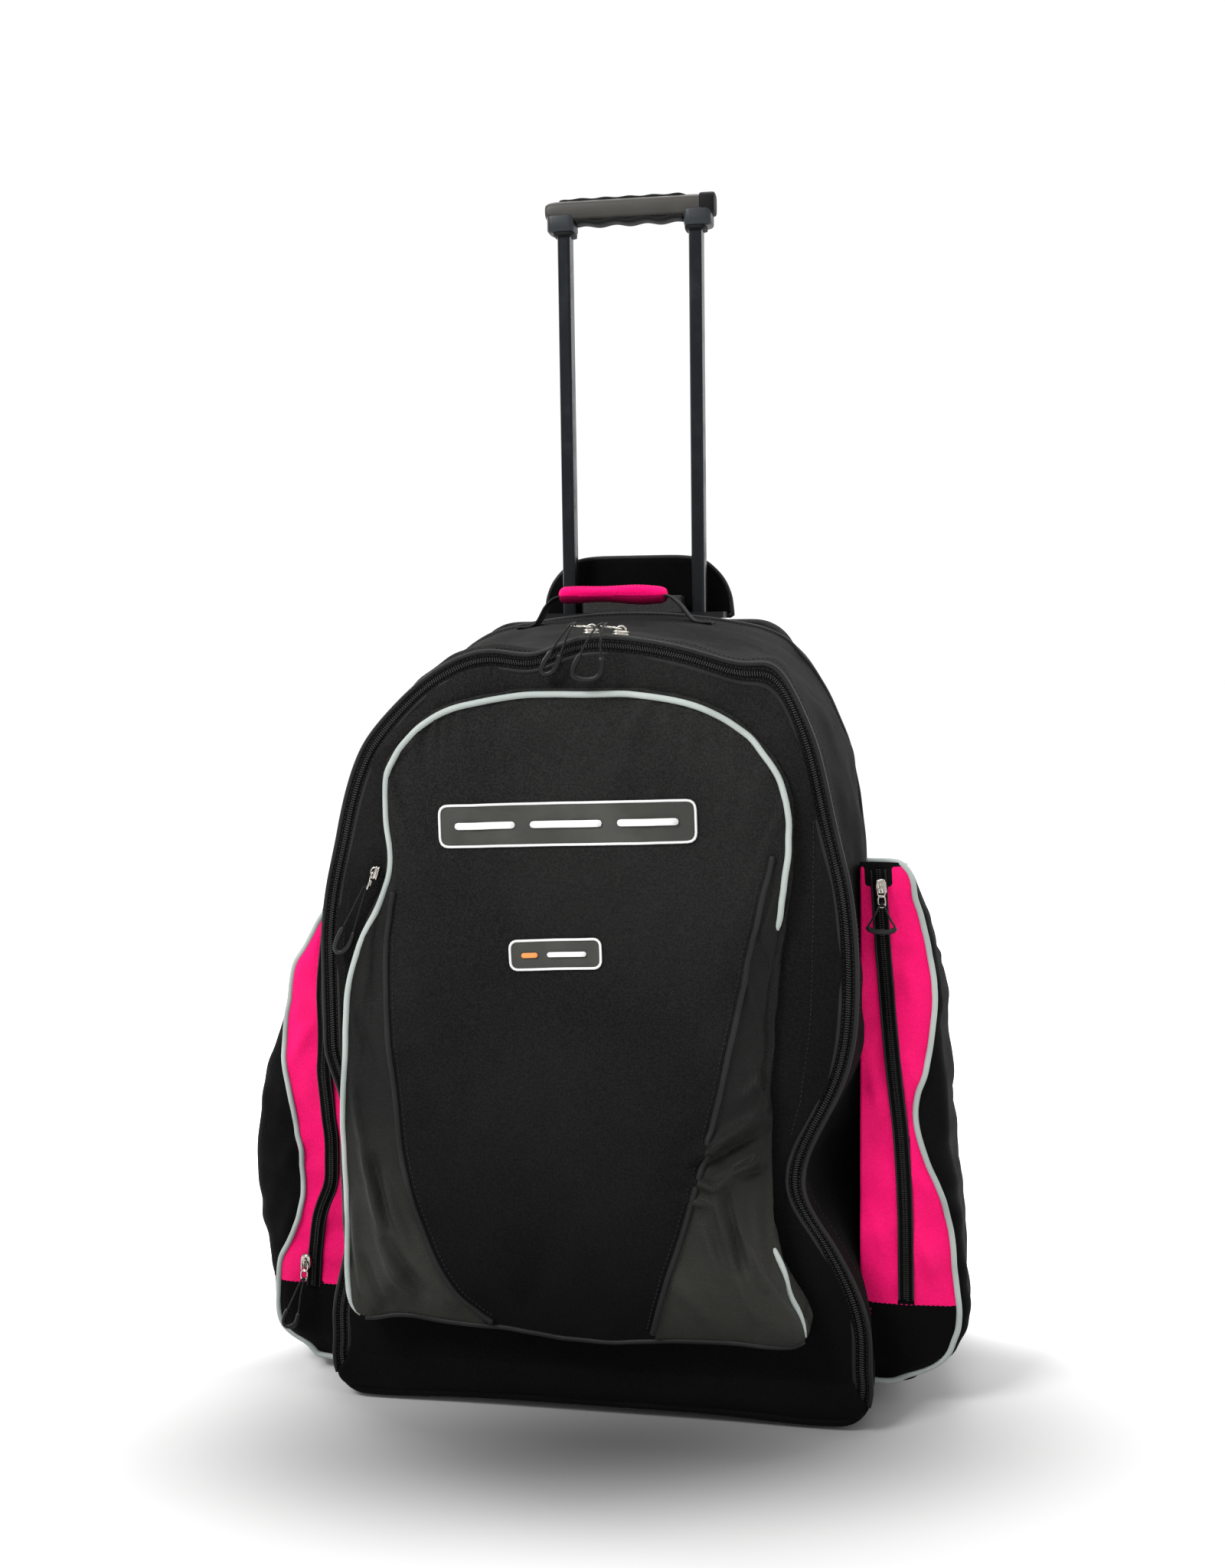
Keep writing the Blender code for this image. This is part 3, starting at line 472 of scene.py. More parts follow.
def close_ring(obj, count, sides):
    """Joins the last row of a ring of rows to its first."""
    last = (count - 1) * sides

    def join(bm):
        for j in range(sides):
            k = (j + 1) % sides
            bm.faces.new((bm.verts[last + j], bm.verts[last + k], bm.verts[k], bm.verts[j]))

    return edit(obj, join)


def fill_last(obj, count):
    """Fills the last ring of a skin."""
    return edit(obj, lambda bm: bm.faces.new([bm.verts[len(bm.verts) - count + i] for i in range(count)]))


def strip(name, points, across, out, width, thickness, material, closed=False):
    """A flat band along points: across is its width's direction and out its thickness's, at each point."""
    points, across, out = (np.asarray(v, float) for v in (points, across, out))
    shape = [(-0.5, 0.0), (-0.46, 0.5), (-0.2, 0.62), (0.2, 0.62),
             (0.46, 0.5), (0.5, 0.0), (0.46, -0.5), (-0.46, -0.5)]
    rows = np.stack([points + across * (a * width) + out * (b * thickness) for a, b in shape], axis=1)
    if closed:
        return close_ring(grid(name, rows, material, around=True), len(points), len(shape))
    return grid(name, rows, material, around=True, ends=True)


def small_bars(name, bars, material):
    """Many short bars as one mesh. Each is four rings of four points."""
    verts, faces = [], []
    for bar in bars:
        base = len(verts)
        verts += bar
        for first in (base, base + 4, base + 8):
            for j in range(4):
                k = (j + 1) % 4
                faces.append((first + j, first + k, first + 4 + k, first + 4 + j))
        faces += [tuple(base + j for j in (3, 2, 1, 0)), tuple(base + 12 + j for j in range(4))]
    return add(name, verts, faces, material)


def dashes(name, points, out, material, pitch=0.0042, length=0.0026, radius=0.00042, lift=0.0004):
    """A line of stitches on a surface."""
    points, out = np.asarray(points, float), np.asarray(out, float)
    run = run_along(points)
    bars = []
    for start in np.arange(pitch / 2, run[-1] - length, pitch):
        first, last = (at_run(at, run, points) for at in (start, start + length))
        lift_by = at_run(start, run, out)
        along = last - first
        along /= max(np.linalg.norm(along), 1e-9)
        side = np.cross(along, lift_by)
        taper = along * length * 0.25
        rings = ((first, 0.35), (first + taper, 1.0), (last - taper, 1.0), (last, 0.35))
        bars.append([
            spot + lift_by * lift * size + (side * math.cos(a) + lift_by * math.sin(a)) * radius * size
            for spot, size in rings for a in (0, math.pi / 2, math.pi, 3 * math.pi / 2)
        ])
    return small_bars(name, bars, material)


def teeth(name, points, across, out, material, pitch=0.0021, reach=0.0030, size=0.0011):
    """One half of a coil zip: a row of small bent loops along points."""
    run = run_along(points)
    bars = []
    for start in np.arange(0, run[-1], pitch):
        here, side, lift = (at_run(start, run, values) for values in (points, across, out))
        along = np.cross(side, lift)
        bars.append([
            here + side * reach * step + lift * size * high + along * a * size * thick + lift * b * size * thick
            for step, high, thick in ((0.0, 0.0, 0.8), (0.25, 1.0, 1.0), (0.8, 1.1, 1.0), (1.0, 0.5, 0.9))
            for a, b in ((-0.5, -0.5), (0.5, -0.5), (0.5, 0.5), (-0.5, 0.5))
        ])
    return small_bars(name, bars, material)


def place(obj, body, slot, *nodes):
    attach(obj, body)
    if nodes:
        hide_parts(*nodes)
    return obj


def sew(name, points, out, body, slot, material=THREAD, **sizes):
    """A line of stitches that rides on a body."""
    return place(dashes(name, points, out, material, **sizes), body, slot)


def ribbon(name, points, across, out, width, thickness, material, body, slot, *nodes):
    """A flat band that rides on a body."""
    return place(strip(name, points, across, out, width, thickness, material), body, slot, *nodes)


def bar(name, points, radius, material, body, slot, sides=8, **more):
    """A round bar, such as piping, that rides on a body."""
    return place(rod(name, points, radius, material, sides, **more), body, slot)


def loft(name, rows, material, body, slot, *nodes):
    """A closed skin through rings of points that rides on a body."""
    return place(grid(name, rows, material, around=True, ends=True), body, slot, *nodes)


# --- Cloth simulation ---------------------------------------------------------------------------------------
def inflate(obj, voxel, pressure, frames, cap, held, gravity=0.0, stiffness=12.0, bending=0.4):
    """Remeshes a closed form, lets cloth pressure fill it, and limits how far any point moves.

    held is a test of a rest position that pins it. Gives the points at rest beside the object.
    """
    remesh = obj.modifiers.new("voxels", "REMESH")
    remesh.mode = "VOXEL"
    remesh.voxel_size = voxel
    remesh.use_smooth_shade = True
    baked(obj)
    rest = coordinates(obj)
    group = obj.vertex_groups.new(name="held")
    group.add([i for i, p in enumerate(rest) if held(p)], 1.0, "REPLACE")
    cloth = obj.modifiers.new("cloth", "CLOTH")
    cloth.settings.quality = 4
    cloth.settings.mass = 0.25
    cloth.settings.tension_stiffness = cloth.settings.compression_stiffness = stiffness
    cloth.settings.shear_stiffness = stiffness / 2
    cloth.settings.bending_stiffness = bending
    cloth.settings.use_pressure = True
    cloth.settings.uniform_pressure_force = pressure
    cloth.settings.vertex_group_mass = "held"
    cloth.settings.effector_weights.gravity = gravity
    cloth.collision_settings.use_collision = False
    cloth.point_cache.frame_end = frames
    for number in range(1, frames + 1):
        SCENE.frame_set(number)
    evaluated = obj.evaluated_get(bpy.context.evaluated_depsgraph_get())
    flat = np.empty(len(rest) * 3)
    evaluated.data.vertices.foreach_get("co", flat)
    moved = flat.reshape(-1, 3) - rest
    SCENE.frame_set(1)
    obj.modifiers.clear()
    obj.vertex_groups.clear()
    far = np.linalg.norm(moved, axis=1)
    scale = np.minimum(1.0, cap / np.maximum(far, 1e-9))
    set_coordinates(obj, rest + moved * scale[:, None])
    return rest


class Carrier:
    """Carries points near a form at rest to where its cloth has gone."""

    def __init__(self, rest, moved):
        self.shift = moved - rest
        self.tree = KDTree(len(rest))
        for i, point in enumerate(rest):
            self.tree.insert(point, i)
        self.tree.balance()

    def __call__(self, points):
        made = []
        for point in points:
            near = self.tree.find_n(point, 6)
            weights = np.array([1.0 / (distance + 1e-4) for _, _, distance in near])
            shifts = np.array([self.shift[i] for _, i, _ in near])
            made.append(np.asarray(point) + (shifts * weights[:, None]).sum(0) / weights.sum())
        return np.array(made)


def surface(obj):
    bpy.context.view_layer.update()
    return BVHTree.FromObject(obj, bpy.context.evaluated_depsgraph_get())


def on_surface(tree, points, lift=0.0):
    """The nearest points of a surface, lifted off it, and the normals there."""
    spots, normals = [], []
    for point in points:
        spot, normal, _, _ = tree.find_nearest(Vector(point))
        spots.append(spot + normal * lift)
        normals.append(normal)
    return np.array(spots), np.array(normals)


def smoothed(points, rounds=3, closed=False):
    points = np.array(points)
    for _ in range(rounds):
        middle = (np.roll(points, 1, axis=0) + np.roll(points, -1, axis=0)) / 2
        if not closed:
            middle[0], middle[-1] = points[0], points[-1]
        points = (points + middle) / 2
    return points


# --- Outlines of the bag ------------------------------------------------------------------------------------
def half_arch(arcs, top, floor, corner, steps=24):
    """(x, z) down the right side: tangent arcs, a straight side, a bottom corner and half the bottom."""
    points, done = [np.array([0.0, top])], 0
    for radius, degrees in arcs:
        a = math.radians(done)
        centre = points[-1] - radius * np.array([math.sin(a), math.cos(a)])
        for i in range(1, steps + 1):
            b = math.radians(done + degrees * i / steps)
            points.append(centre + radius * np.array([math.sin(b), math.cos(b)]))
        done += degrees
    side = points[-1][0]
    for i in range(steps + 1):
        b = math.radians(90 + 90 * i / steps)
        points.append(np.array([side - corner + corner * math.sin(b), floor + corner + corner * math.cos(b)]))
    return np.array(points + [np.array([0.0, floor])])


def loop_of(half, count):
    """A whole outline from the bottom centre up the left side, clockwise."""
    left = half[::-1] * np.array([-1.0, 1.0])
    return spaced(np.vstack([left, half[1:-1]]), count, closed=True)


LOOP_COUNT = 460
FRONT_LOOP = loop_of(half_arch(FRONT_ARCS, TOP_FRONT, SHELL_LOW.z, FRONT_CORNER_R), LOOP_COUNT)
BACK_LOOP = loop_of(half_arch(BACK_ARCS, TOP_BACK, SHELL_LOW.z, BACK_CORNER_R), LOOP_COUNT)


CAVE_HEIGHT, WAIST_HEIGHT, SHOULDER_HEIGHT = 0.222, 0.53, 0.50


def slump(points):
    """The bag's front sags out of its drawn outline: it caves in at the lower right and droops at the left."""
    points = np.array(points, float)
    x, y, z = points.T
    front = ease((-0.010 - y) / 0.13)
    right, left = ease((x - 0.09) / 0.10), ease((-x - 0.09) / 0.10)
    above = z > CAVE_HEIGHT
    dent = hump(z, CAVE_HEIGHT, 0.077) * above + hump(z, CAVE_HEIGHT, 0.060) * ~above
    waist = hump(z, WAIST_HEIGHT, 0.07)
    points[:, 0] += front * (-0.046 * right * dent - 0.012 * right * waist + 0.005 * left * waist)
    points[:, 0] += front * 0.014 * left * ease((0.33 - z) / 0.06) * ease((z - 0.075) / 0.08)
    points[:, 0] += front * (0.008 * left * ease((z - 0.42) / 0.10) + 0.011 * right * ease((0.16 - z) / 0.08))
    high = ease((z - SHOULDER_HEIGHT) / 0.14)
    points[:, 2] += front * high * (0.019 * hump(x, 0.168, 0.024) - 0.010 * hump(x, -0.165, 0.05))
    points[:, 2] -= front * high * 0.013 * hump(x, -0.040, 0.032)
    low = ease((0.06 - z) / 0.045)
    points[:, 2] -= front * low * (0.009 + 0.004 * hump(np.abs(x), 0.19, 0.06))
    points[:, 0] += front * low * 0.006 * np.sign(x) * ease(np.abs(x) / 0.2)
    return points


def at_depth(loop, y):
    """(x, z) points as places in space, at one depth or at a depth each."""
    return np.stack([loop[:, 0], np.full(len(loop), y), loop[:, 1]], axis=1)


def line_at(loop, y, distance):
    """The outline moved in by a distance, at one depth, sagged."""
    return slump(at_depth(inset(loop, distance), y))


def facing_front(count):
    return np.tile([0.0, -1.0, 0.0], (count, 1))


def upper(points, low):
    """The stretch of a closed loop that is above a height, from its left end to its right end."""
    inside = np.asarray(points)[:, 2] > low
    start = int(np.argmax(inside & ~np.roll(inside, 1)))
    turned = np.roll(points, -start, axis=0)
    return turned[: int(inside.sum())]


# --- Camera and light ---------------------------------------------------------------------------------------
CAMERA_SPOT = (0.278, -1.56, 0.714)
CAMERA_YAW, CAMERA_PITCH, CAMERA_ROLL = 10.13, 6.06, -0.79   # in degrees
CAMERA_LENS, CAMERA_SENSOR = 38.67, 36.0                     # in millimetres


def camera():
    yaw, pitch, roll = (math.radians(angle) for angle in (CAMERA_YAW, CAMERA_PITCH, CAMERA_ROLL))
    look = Vector((-math.sin(yaw) * math.cos(pitch), math.cos(yaw) * math.cos(pitch), -math.sin(pitch)))
    flat = Vector((math.cos(yaw), math.sin(yaw), 0.0))
    rise = flat.cross(look)
    right = flat * math.cos(roll) + rise * math.sin(roll)
    up = rise * math.cos(roll) - flat * math.sin(roll)
    data = bpy.data.cameras.new("camera")
    data.lens, data.sensor_width = CAMERA_LENS, CAMERA_SENSOR
    made = bpy.data.objects.new("camera", data)
    made.matrix_world = Matrix.Translation(CAMERA_SPOT) @ Matrix((right, up, -look)).transposed().to_4x4()
    SCENE.collection.objects.link(made)
    SCENE.camera = made


def softbox(name, spot, target, wide, tall, power):
    data = bpy.data.lights.new(name, "AREA")
    data.shape, data.size, data.size_y, data.energy = "RECTANGLE", wide, tall, power
    made = bpy.data.objects.new(name, data)
    made.location = spot
    made.rotation_euler = (Vector(target) - Vector(spot)).to_track_quat("-Z", "Y").to_euler()
    SCENE.collection.objects.link(made)


def floor_material():
    """Pale, with a painted shadow round the bag: a soft grey ellipse turned as the camera is."""
    made, tree, shader, coords = blank("floor")
    shadow_coords = node(tree, "ShaderNodeMapping", {"vector_type": "TEXTURE"}, Vector=coords,
                Location=(0.028, -0.212, 0.0), Rotation=(0.0, 0.0, math.radians(CAMERA_YAW)),
                Scale=(0.54, 0.205, 1.0)).outputs[0]
    away = node(tree, "ShaderNodeVectorMath", {"operation": "LENGTH"}, i0=shadow_coords).outputs["Value"]
    # painted shadow: darkest in the ellipse's middle, fading out to the pale floor
    shaded = mix(tree, ramp(tree, away, 0.0, 1.0), (0.085, 0.085, 0.085), (0.44, 0.44, 0.44))
    pale = mix(tree, cloud(tree, coords, 60.0, 4.0), (0.93, 0.93, 0.93), (0.95, 0.95, 0.95))
    colour = mix(tree, ramp(tree, away, 0.95, 1.5), shaded, pale)
    feed(tree, shader, {"Base Color": colour, "Roughness": 0.7, "Specular IOR Level": 0.1})
    return made


def studio():
    softbox("key", (-1.3, -1.9, 2.5), (0, -0.1, 0.60), 0.9, 0.9, 105)
    softbox("fill", (2.4, -1.6, 1.3), (0, 0, 0.4), 1.0, 1.6, 12)
    softbox("top", (0.1, 0.6, 2.9), (0, 0, 0.5), 2.0, 1.8, 60)
    softbox("rim_left", (-2.2, 1.2, 1.5), (0, 0, 0.5), 0.8, 1.6, 44)
    softbox("rim_right", (2.2, 1.4, 1.5), (0, 0, 0.5), 0.8, 1.6, 44)
    world = bpy.data.worlds.new("studio")
    world.use_nodes = True
    background = world.node_tree.nodes["Background"]
    feed(world.node_tree, background, {"Color": (1.0, 1.0, 1.0, 1.0), "Strength": 1.06})
    SCENE.world = world
    SCENE.view_settings.view_transform = "Standard"
    bm = bmesh.new()
    bmesh.ops.create_grid(bm, x_segments=2, y_segments=2, size=14.0)
    mesh = bpy.data.meshes.new("floor")
    bm.to_mesh(mesh)
    bm.free()
    mesh.materials.append(floor_material())
    floor = bpy.data.objects.new("floor", mesh)
    floor.location.z = -0.0005
    SCENE.collection.objects.link(floor)


# --- Zip sliders, tabs and their cords -----------------------------------------------------------------------
CORD_R = 0.0009
EYE = (0.0150, 0.0, 0.0094)


def slider_matrix(label):
    """Where a slider sits: X along its zip, Z away from the cloth. It is read from its tab's hinge."""
    pivot = Vector(JOINTS[label + "_tab"]["pos_m"])
    across = -Vector(JOINTS[label + "_tab"]["axis"])
    low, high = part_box("pull_tab_" + label)
    along = (low + high) / 2 - pivot
    along -= across * along.dot(across)
    if label.startswith("main"):
        along = Vector((-1, 0, 0)) - across * across.dot(Vector((-1, 0, 0)))
        centre = Vector(JOINTS[label + "_zip"]["pos_m"])
        along = across.cross(pivot - centre)
    along.normalize()
    out = along.cross(across)
    turned = Matrix((along, across, out)).transposed().to_4x4()
    return Matrix.Translation(pivot - out * 0.0062) @ turned


def loop_route(lean, drop, wide, out):
    """part.py's route of a hanging cord loop, as offsets from the tab's eye."""
    shape = [(0.15, 0.0), (0.25, 0.06), (0.45, 0.28), (0.80, 0.62), (1.0, 0.78), (0.92, 0.93), (0.45, 1.0),
             (-0.35, 1.0), (-0.90, 0.92), (-1.0, 0.78), (-0.80, 0.60), (-0.45, 0.28), (-0.25, 0.06),
             (-0.15, 0.0)]
    return [Vector((across * wide / 2 + lean * down, -out * min(1.0, down * 10.0), -drop * down))
            for across, down in shape]


def cord_pull(label, matrix, route):
    eye = matrix @ Vector(EYE)
    points = through([eye + offset for offset in route], 60)
    curve = bpy.data.curves.new("cord_loop_" + label, "CURVE")
    curve.dimensions = "3D"
    curve.bevel_depth = CORD_R
    curve.bevel_resolution = 3
    curve.use_fill_caps = True
    spline = curve.splines.new("POLY")
    spline.points.add(len(points) - 1)
    for spot, point in zip(spline.points, points):
        spot.co = (*point, 1.0)
    curve.materials.append(CORD)
    cord = bpy.data.objects.new("cord_loop_" + label, curve)
    SCENE.collection.objects.link(cord)
    place(cord, "tab_" + label, "cord", "cord_pull_" + label)
    bend = spaced(points, 200)[62:139]
    last = len(bend) - 1
    radii = np.interp(np.arange(last + 1), [0, 3, last - 3, last], [0.0012, 0.0023, 0.0023, 0.0012])
    end = rod("cord_end_" + label, bend, 0.0023, PULL_END, 12, radii=radii)
    place(end, "tab_" + label, "cord")


def loop_points(centre, half_long, half_wide, tilt, count=40):
    """An oval ring's centre line in a slider's own axes, tilted about its width."""
    x, y = squared(turns(count), 0.7)
    x, y = x * half_long, y * half_wide
    return np.stack([centre[0] + x * math.cos(tilt), centre[1] + y, centre[2] + x * math.sin(tilt)], axis=1)


def slider(label):
    matrix = slider_matrix(label)
    outline = [(-0.0062, 0.0036), (-0.0030, 0.0046), (0.0035, 0.0049), (0.0060, 0.0040), (0.0066, 0.0018)]
    half = through(outline, 14)
    ring = np.vstack([half, half[::-1] * np.array([1.0, -1.0])])
    rows = []
    for high, shrink in ((0.0005, 0.90), (0.0008, 1.0), (0.0015, 1.0), (0.0019, 0.86), (0.0026, 0.86),
                         (0.0030, 1.0), (0.0038, 0.99), (0.0043, 0.90), (0.0045, 0.70)):
        rows.append([(x * shrink, y * shrink, high) for x, y in ring])
    body = grid("slider_body_" + label, rows, NICKEL, around=True, ends=True)
    arch = [(-0.0036, 0, 0.0040), (-0.0034, 0, 0.0062), (-0.0018, 0, 0.0078), (0.0010, 0, 0.0080),
            (0.0032, 0, 0.0068), (0.0040, 0, 0.0042)]
    bail = rod("slider_bail_" + label, through(arch, 16), 0.00085, NICKEL)
    ring_line = loop_points((0.0040, 0, 0.0062), 0.0042, 0.0031, 0.12)
    first = rod("pull_ring_" + label, ring_line, 0.00075, NICKEL, closed=True)
    link_line = loop_points((0.0122, 0, 0.0064), 0.0050, 0.0030, 0.05)
    second = rod("pull_link_" + label, link_line, 0.00085, NICKEL, closed=True)
    crossing = [(0.0150, -0.0028, 0.0066), (0.0153, 0.0, 0.0072), (0.0150, 0.0028, 0.0066)]
    crossbar = rod("pull_bar_" + label, through(crossing, 12), 0.0011, NICKEL)
    stem = [(0.0150, 0.0, 0.0070), (0.0151, 0.0, 0.0084), (0.0150, 0.0, 0.0097)]
    thick = np.interp(np.linspace(0, 1, 10), [0, 0.3, 0.7, 1], [0.0010, 0.0018, 0.0018, 0.0012])
    knot = rod("pull_knot_" + label, through(stem, 10), 0.0016, CORD, 10, radii=thick)
    for piece in (body, bail, first, second, crossbar, knot):
        piece.data.transform(matrix)
    place(body, f"slider_{label}_body", "nickel", "slider_" + label)
    place(bail, f"slider_{label}_body", "nickel")
    place(first, "tab_" + label, "nickel", "pull_tab_" + label)
    for piece in (second, crossbar):
        place(piece, "tab_" + label, "nickel")
    place(knot, "tab_" + label, "cord")
    return matrix


# For each slider's cord: how far it leans, hangs, spreads and stands off the cloth.
PULLS = {
    "main_right": (-0.012, 0.046, 0.024, 0.029),
    "main_left": (-0.022, 0.042, 0.012, 0.017),
    "side_right": (0.0, 0.022, 0.022, 0.004),
    "side_left": (-0.014, 0.044, 0.013, 0.004),
    "front_pocket": (-0.0250, 0.058, 0.013, 0.001),
}


def sliders():
    for label, (lean, drop, wide, out) in PULLS.items():
        cord_pull(label, slider(label), loop_route(lean, drop, wide, out))


# --- Body, zip band and door --------------------------------------------------------------------------------
BAND_FRONT, SHELL_FRONT = -0.1592, -0.150   # where the shell's rolled front edge and its plain part begin


def between(share):
    """The bag's outline at a share of the way from its front to its back."""
    return FRONT_LOOP * (1 - share) + BACK_LOOP * share


def shell_share(y):
    return (y - SHELL_FRONT) / (SHELL_HIGH.y - SHELL_FRONT)


def body():
    rows = [line_at(FRONT_LOOP, BAND_FRONT + back, distance)
            for back, distance in ((0.0, 0.0060), (-0.0002, 0.0035), (0.0012, 0.0008), (0.0047, 0.0))]
    for y in np.linspace(SHELL_FRONT, SHELL_HIGH.y, 46):
        share = shell_share(y)
        row = slump(at_depth(between(share), y))
        belly = math.sin(math.pi * share)
        row[:, 0] += np.sign(row[:, 0]) * 0.005 * belly * ease((np.abs(row[:, 0]) - 0.16) / 0.06)
        row[:, 2] -= 0.009 * hump(share, 0.42, 0.21) * ease((row[:, 2] - 0.62) / 0.05)
        fold = (0.0080 * hump(y, -0.128, 0.009) - 0.0045 * hump(y, -0.143, 0.006)
                - 0.0030 * hump(y, -0.112, 0.008))
        row[:, 2] += fold * hump(row[:, 0], -0.098, 0.052) * (row[:, 2] > 0.6)
        row[:, 0] -= 0.5 * fold * hump(row[:, 0], -0.130, 0.040) * (row[:, 2] > 0.6)
        rows.append(row)
    made = grid("bag_shell", rows, CANVAS, around=True)
    points = coordinates(made)
    away = points - np.array([0.0, 0.0, 0.36])
    away[:, 1] = 0.0
    away /= np.linalg.norm(away, axis=1)[:, None]
    held = ease((points[:, 1] + 0.152) / 0.03) * ease((SHELL_HIGH.y - points[:, 1]) / 0.02)
    lift = rumple(points, 0.075, 0.0075, 1) + rumple(points, 0.030, 0.0030, 2)
    lift *= 1 - ease((points[:, 2] - 0.66) / 0.02) * ease((points[:, 1] - 0.02) / 0.02)
    set_coordinates(made, points + away * (lift * held)[:, None])
    wall(made, 0.0028)
    place(made, "bag", "black_canvas", "body_shell")
    tree = surface(made)
    spots, _ = on_surface(tree, upper(rows[-3], 0.10), 0.0006)
    bar("back_seam_piping", spots, 0.0022, BLACK_PIPING, "bag", "black_canvas")
    for label, y in (("front", -0.137), ("back", 0.098)):
        line = slump(at_depth(between(shell_share(y)), y))
        spots, normals = on_surface(tree, upper(line, 0.10))
        sew(f"shell_stitches_{label}", spots, normals, "bag", "black_canvas")
    return made


ZIP_FOOT = 0.0215   # the zip's halves end at this height


def zip_band():
    """The main zip: on each half a ridge, a woven tape and a coil."""
    halves = (("shell", "bag", BAND_OUTER, BAND_COIL - 0.0003, 1.0, "main_zip_shell_half"),
              ("door", "door", BAND_INNER, BAND_COIL + 0.0003, -1.0, "main_zip_door_half"))
    for label, body_name, edge, coil, way, cad in halves:
        ridge, tape, line, stitched = (
            upper(line_at(FRONT_LOOP, ZIP_PLANE - forward, distance), ZIP_FOOT) for forward, distance in (
                (0.0008, edge), (0.0, (edge + coil) / 2), (0.0006, coil), (0.0006, edge + 0.0030 * way))
        )
        out = facing_front(len(tape))
        across = np.cross(out, frames_along(tape))
        ribbon(f"zip_tape_{label}", tape, across, out, abs(edge - coil) + 0.002, 0.0012, BAND, body_name,
               "zip_tape", cad)
        bar(f"zip_ridge_{label}", ridge, 0.0021, BLACK_PIPING, body_name, "zip_tape", 10)
        out = facing_front(len(line))
        side = np.cross(out, frames_along(line))
        inward = side if (side[len(side) // 2] @ np.array([0, 0, -1])) * way > 0 else -side
        place(teeth(f"zip_coil_{label}", line - inward * 0.0022, inward, out, COIL), body_name, "zip_tape")
        sew(f"zip_stitches_{label}", stitched, facing_front(len(stitched)), body_name, "zip_tape",
            pitch=0.0038, length=0.0024, radius=0.00035)


def fan(loop, centre, steps):
    """Rings of (x, z) from a loop in to near its centre, as shares of the way in."""
    return [loop + (centre - loop) * step for step in steps]


DOOR_PLANE, DOOR_LIMIT = -0.1612, -0.1604   # where its edge lies, and how far back its folds may go
DOOR_CENTRE = np.array([0.0, 0.34])
DOOR_STEPS = (0, 0.006, 0.02, 0.04, 0.07, 0.10, 0.14, 0.19, 0.25, 0.32, 0.40, 0.5, 0.62, 0.76, 0.9, 0.985)
DOOR_FOLDS = [
    ((-0.185, 0.585), (-0.075, 0.662), 0.0060, 0.0030), ((-0.150, 0.580), (-0.030, 0.655), 0.0050, 0.0018),
    ((0.196, 0.42), (0.203, 0.30), 0.006, 0.0022), ((0.190, 0.46), (0.178, 0.28), 0.007, -0.002),
    ((0.205, 0.53), (0.180, 0.58), 0.007, 0.0018), ((0.176, 0.265), (0.196, 0.300), 0.005, 0.0026),
    ((0.172, 0.232), (0.188, 0.262), 0.004, -0.0020), ((0.182, 0.500), (0.204, 0.480), 0.005, 0.0016),
    ((0.180, 0.430), (0.210, 0.400), 0.006, 0.0016), ((-0.150, 0.072), (-0.020, 0.066), 0.007, 0.0022),
    ((0.060, 0.072), (0.190, 0.078), 0.007, 0.0020), ((-0.170, 0.655), (-0.090, 0.630), 0.006, 0.0020),
    ((-0.215, 0.45), (-0.205, 0.30), 0.005, 0.0016),
]
DOOR_SEAMS = {
    "right": ((0.1985, 0.535), (0.1975, 0.460), (0.1945, 0.380), (0.1880, 0.310), (0.1790, 0.262)),
    "left": ((-0.2070, 0.470), (-0.2130, 0.420), (-0.2150, 0.360)),
}


def door():
    rings = fan(inset(FRONT_LOOP, BAND_INNER - 0.002), DOOR_CENTRE, DOOR_STEPS)
    rows = [slump(at_depth(ring, DOOR_PLANE - 0.0030 * ease(i / 5))) for i, ring in enumerate(rings)]
    made = fill_last(grid("door_cloth", rows, CANVAS, around=True), LOOP_COUNT)
    points = coordinates(made)
    rim = ease((points[:, 2] - 0.05) / 0.05)
    points = creased(points, DOOR_FOLDS)
    points[:, 1] -= rim * (rumple(points, 0.060, 0.0022, 3) + 0.0008)
    points[:, 1] = np.minimum(points[:, 1], DOOR_LIMIT)
    set_coordinates(made, points)
    wall(made, 0.0022, 1.0 if made.data.polygons[0].normal.y > 0 else -1.0)
    place(made, "door", "black_canvas", "door_panel")
    tree = surface(made)
    for label, line in DOOR_SEAMS.items():
        spots, normals = on_surface(tree, [(x, -0.17, z) for x, z in through(line, 80)])
        sew("door_stitches_" + label, spots, normals, "door", "black_canvas")
    hem()


def hem():
    """The cloth along the door's foot."""
    side = FRONT_LOOP[FRONT_LOOP[:, 0] > 0.05]
    side = side[side[:, 1] < 0.30]
    side = side[np.argsort(side[:, 1])]
    rows = []
    for share in np.linspace(0, 1, 14):
        z = 0.0172 + 0.034 * share
        half = np.interp(z, side[:, 1], side[:, 0]) - 0.0040 - 0.011 * ease((share - 0.45) / 0.4)
        y = -0.1545 - 0.0098 * ease(share * 2.2) + 0.0035 * ease((share - 0.75) / 0.25)
        x = np.linspace(-half, half, 130)
        rows.append(slump(at_depth(np.stack([x, np.full(len(x), z)], axis=1), y)))
    made = grid("door_hem", rows, CANVAS)
    points = coordinates(made)
    points[:, 1] -= rumple(points, 0.05, 0.0016, 5) + 0.0006
    set_coordinates(made, points)
    baked(wall(made, 0.0016, 0.0))
    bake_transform(made)


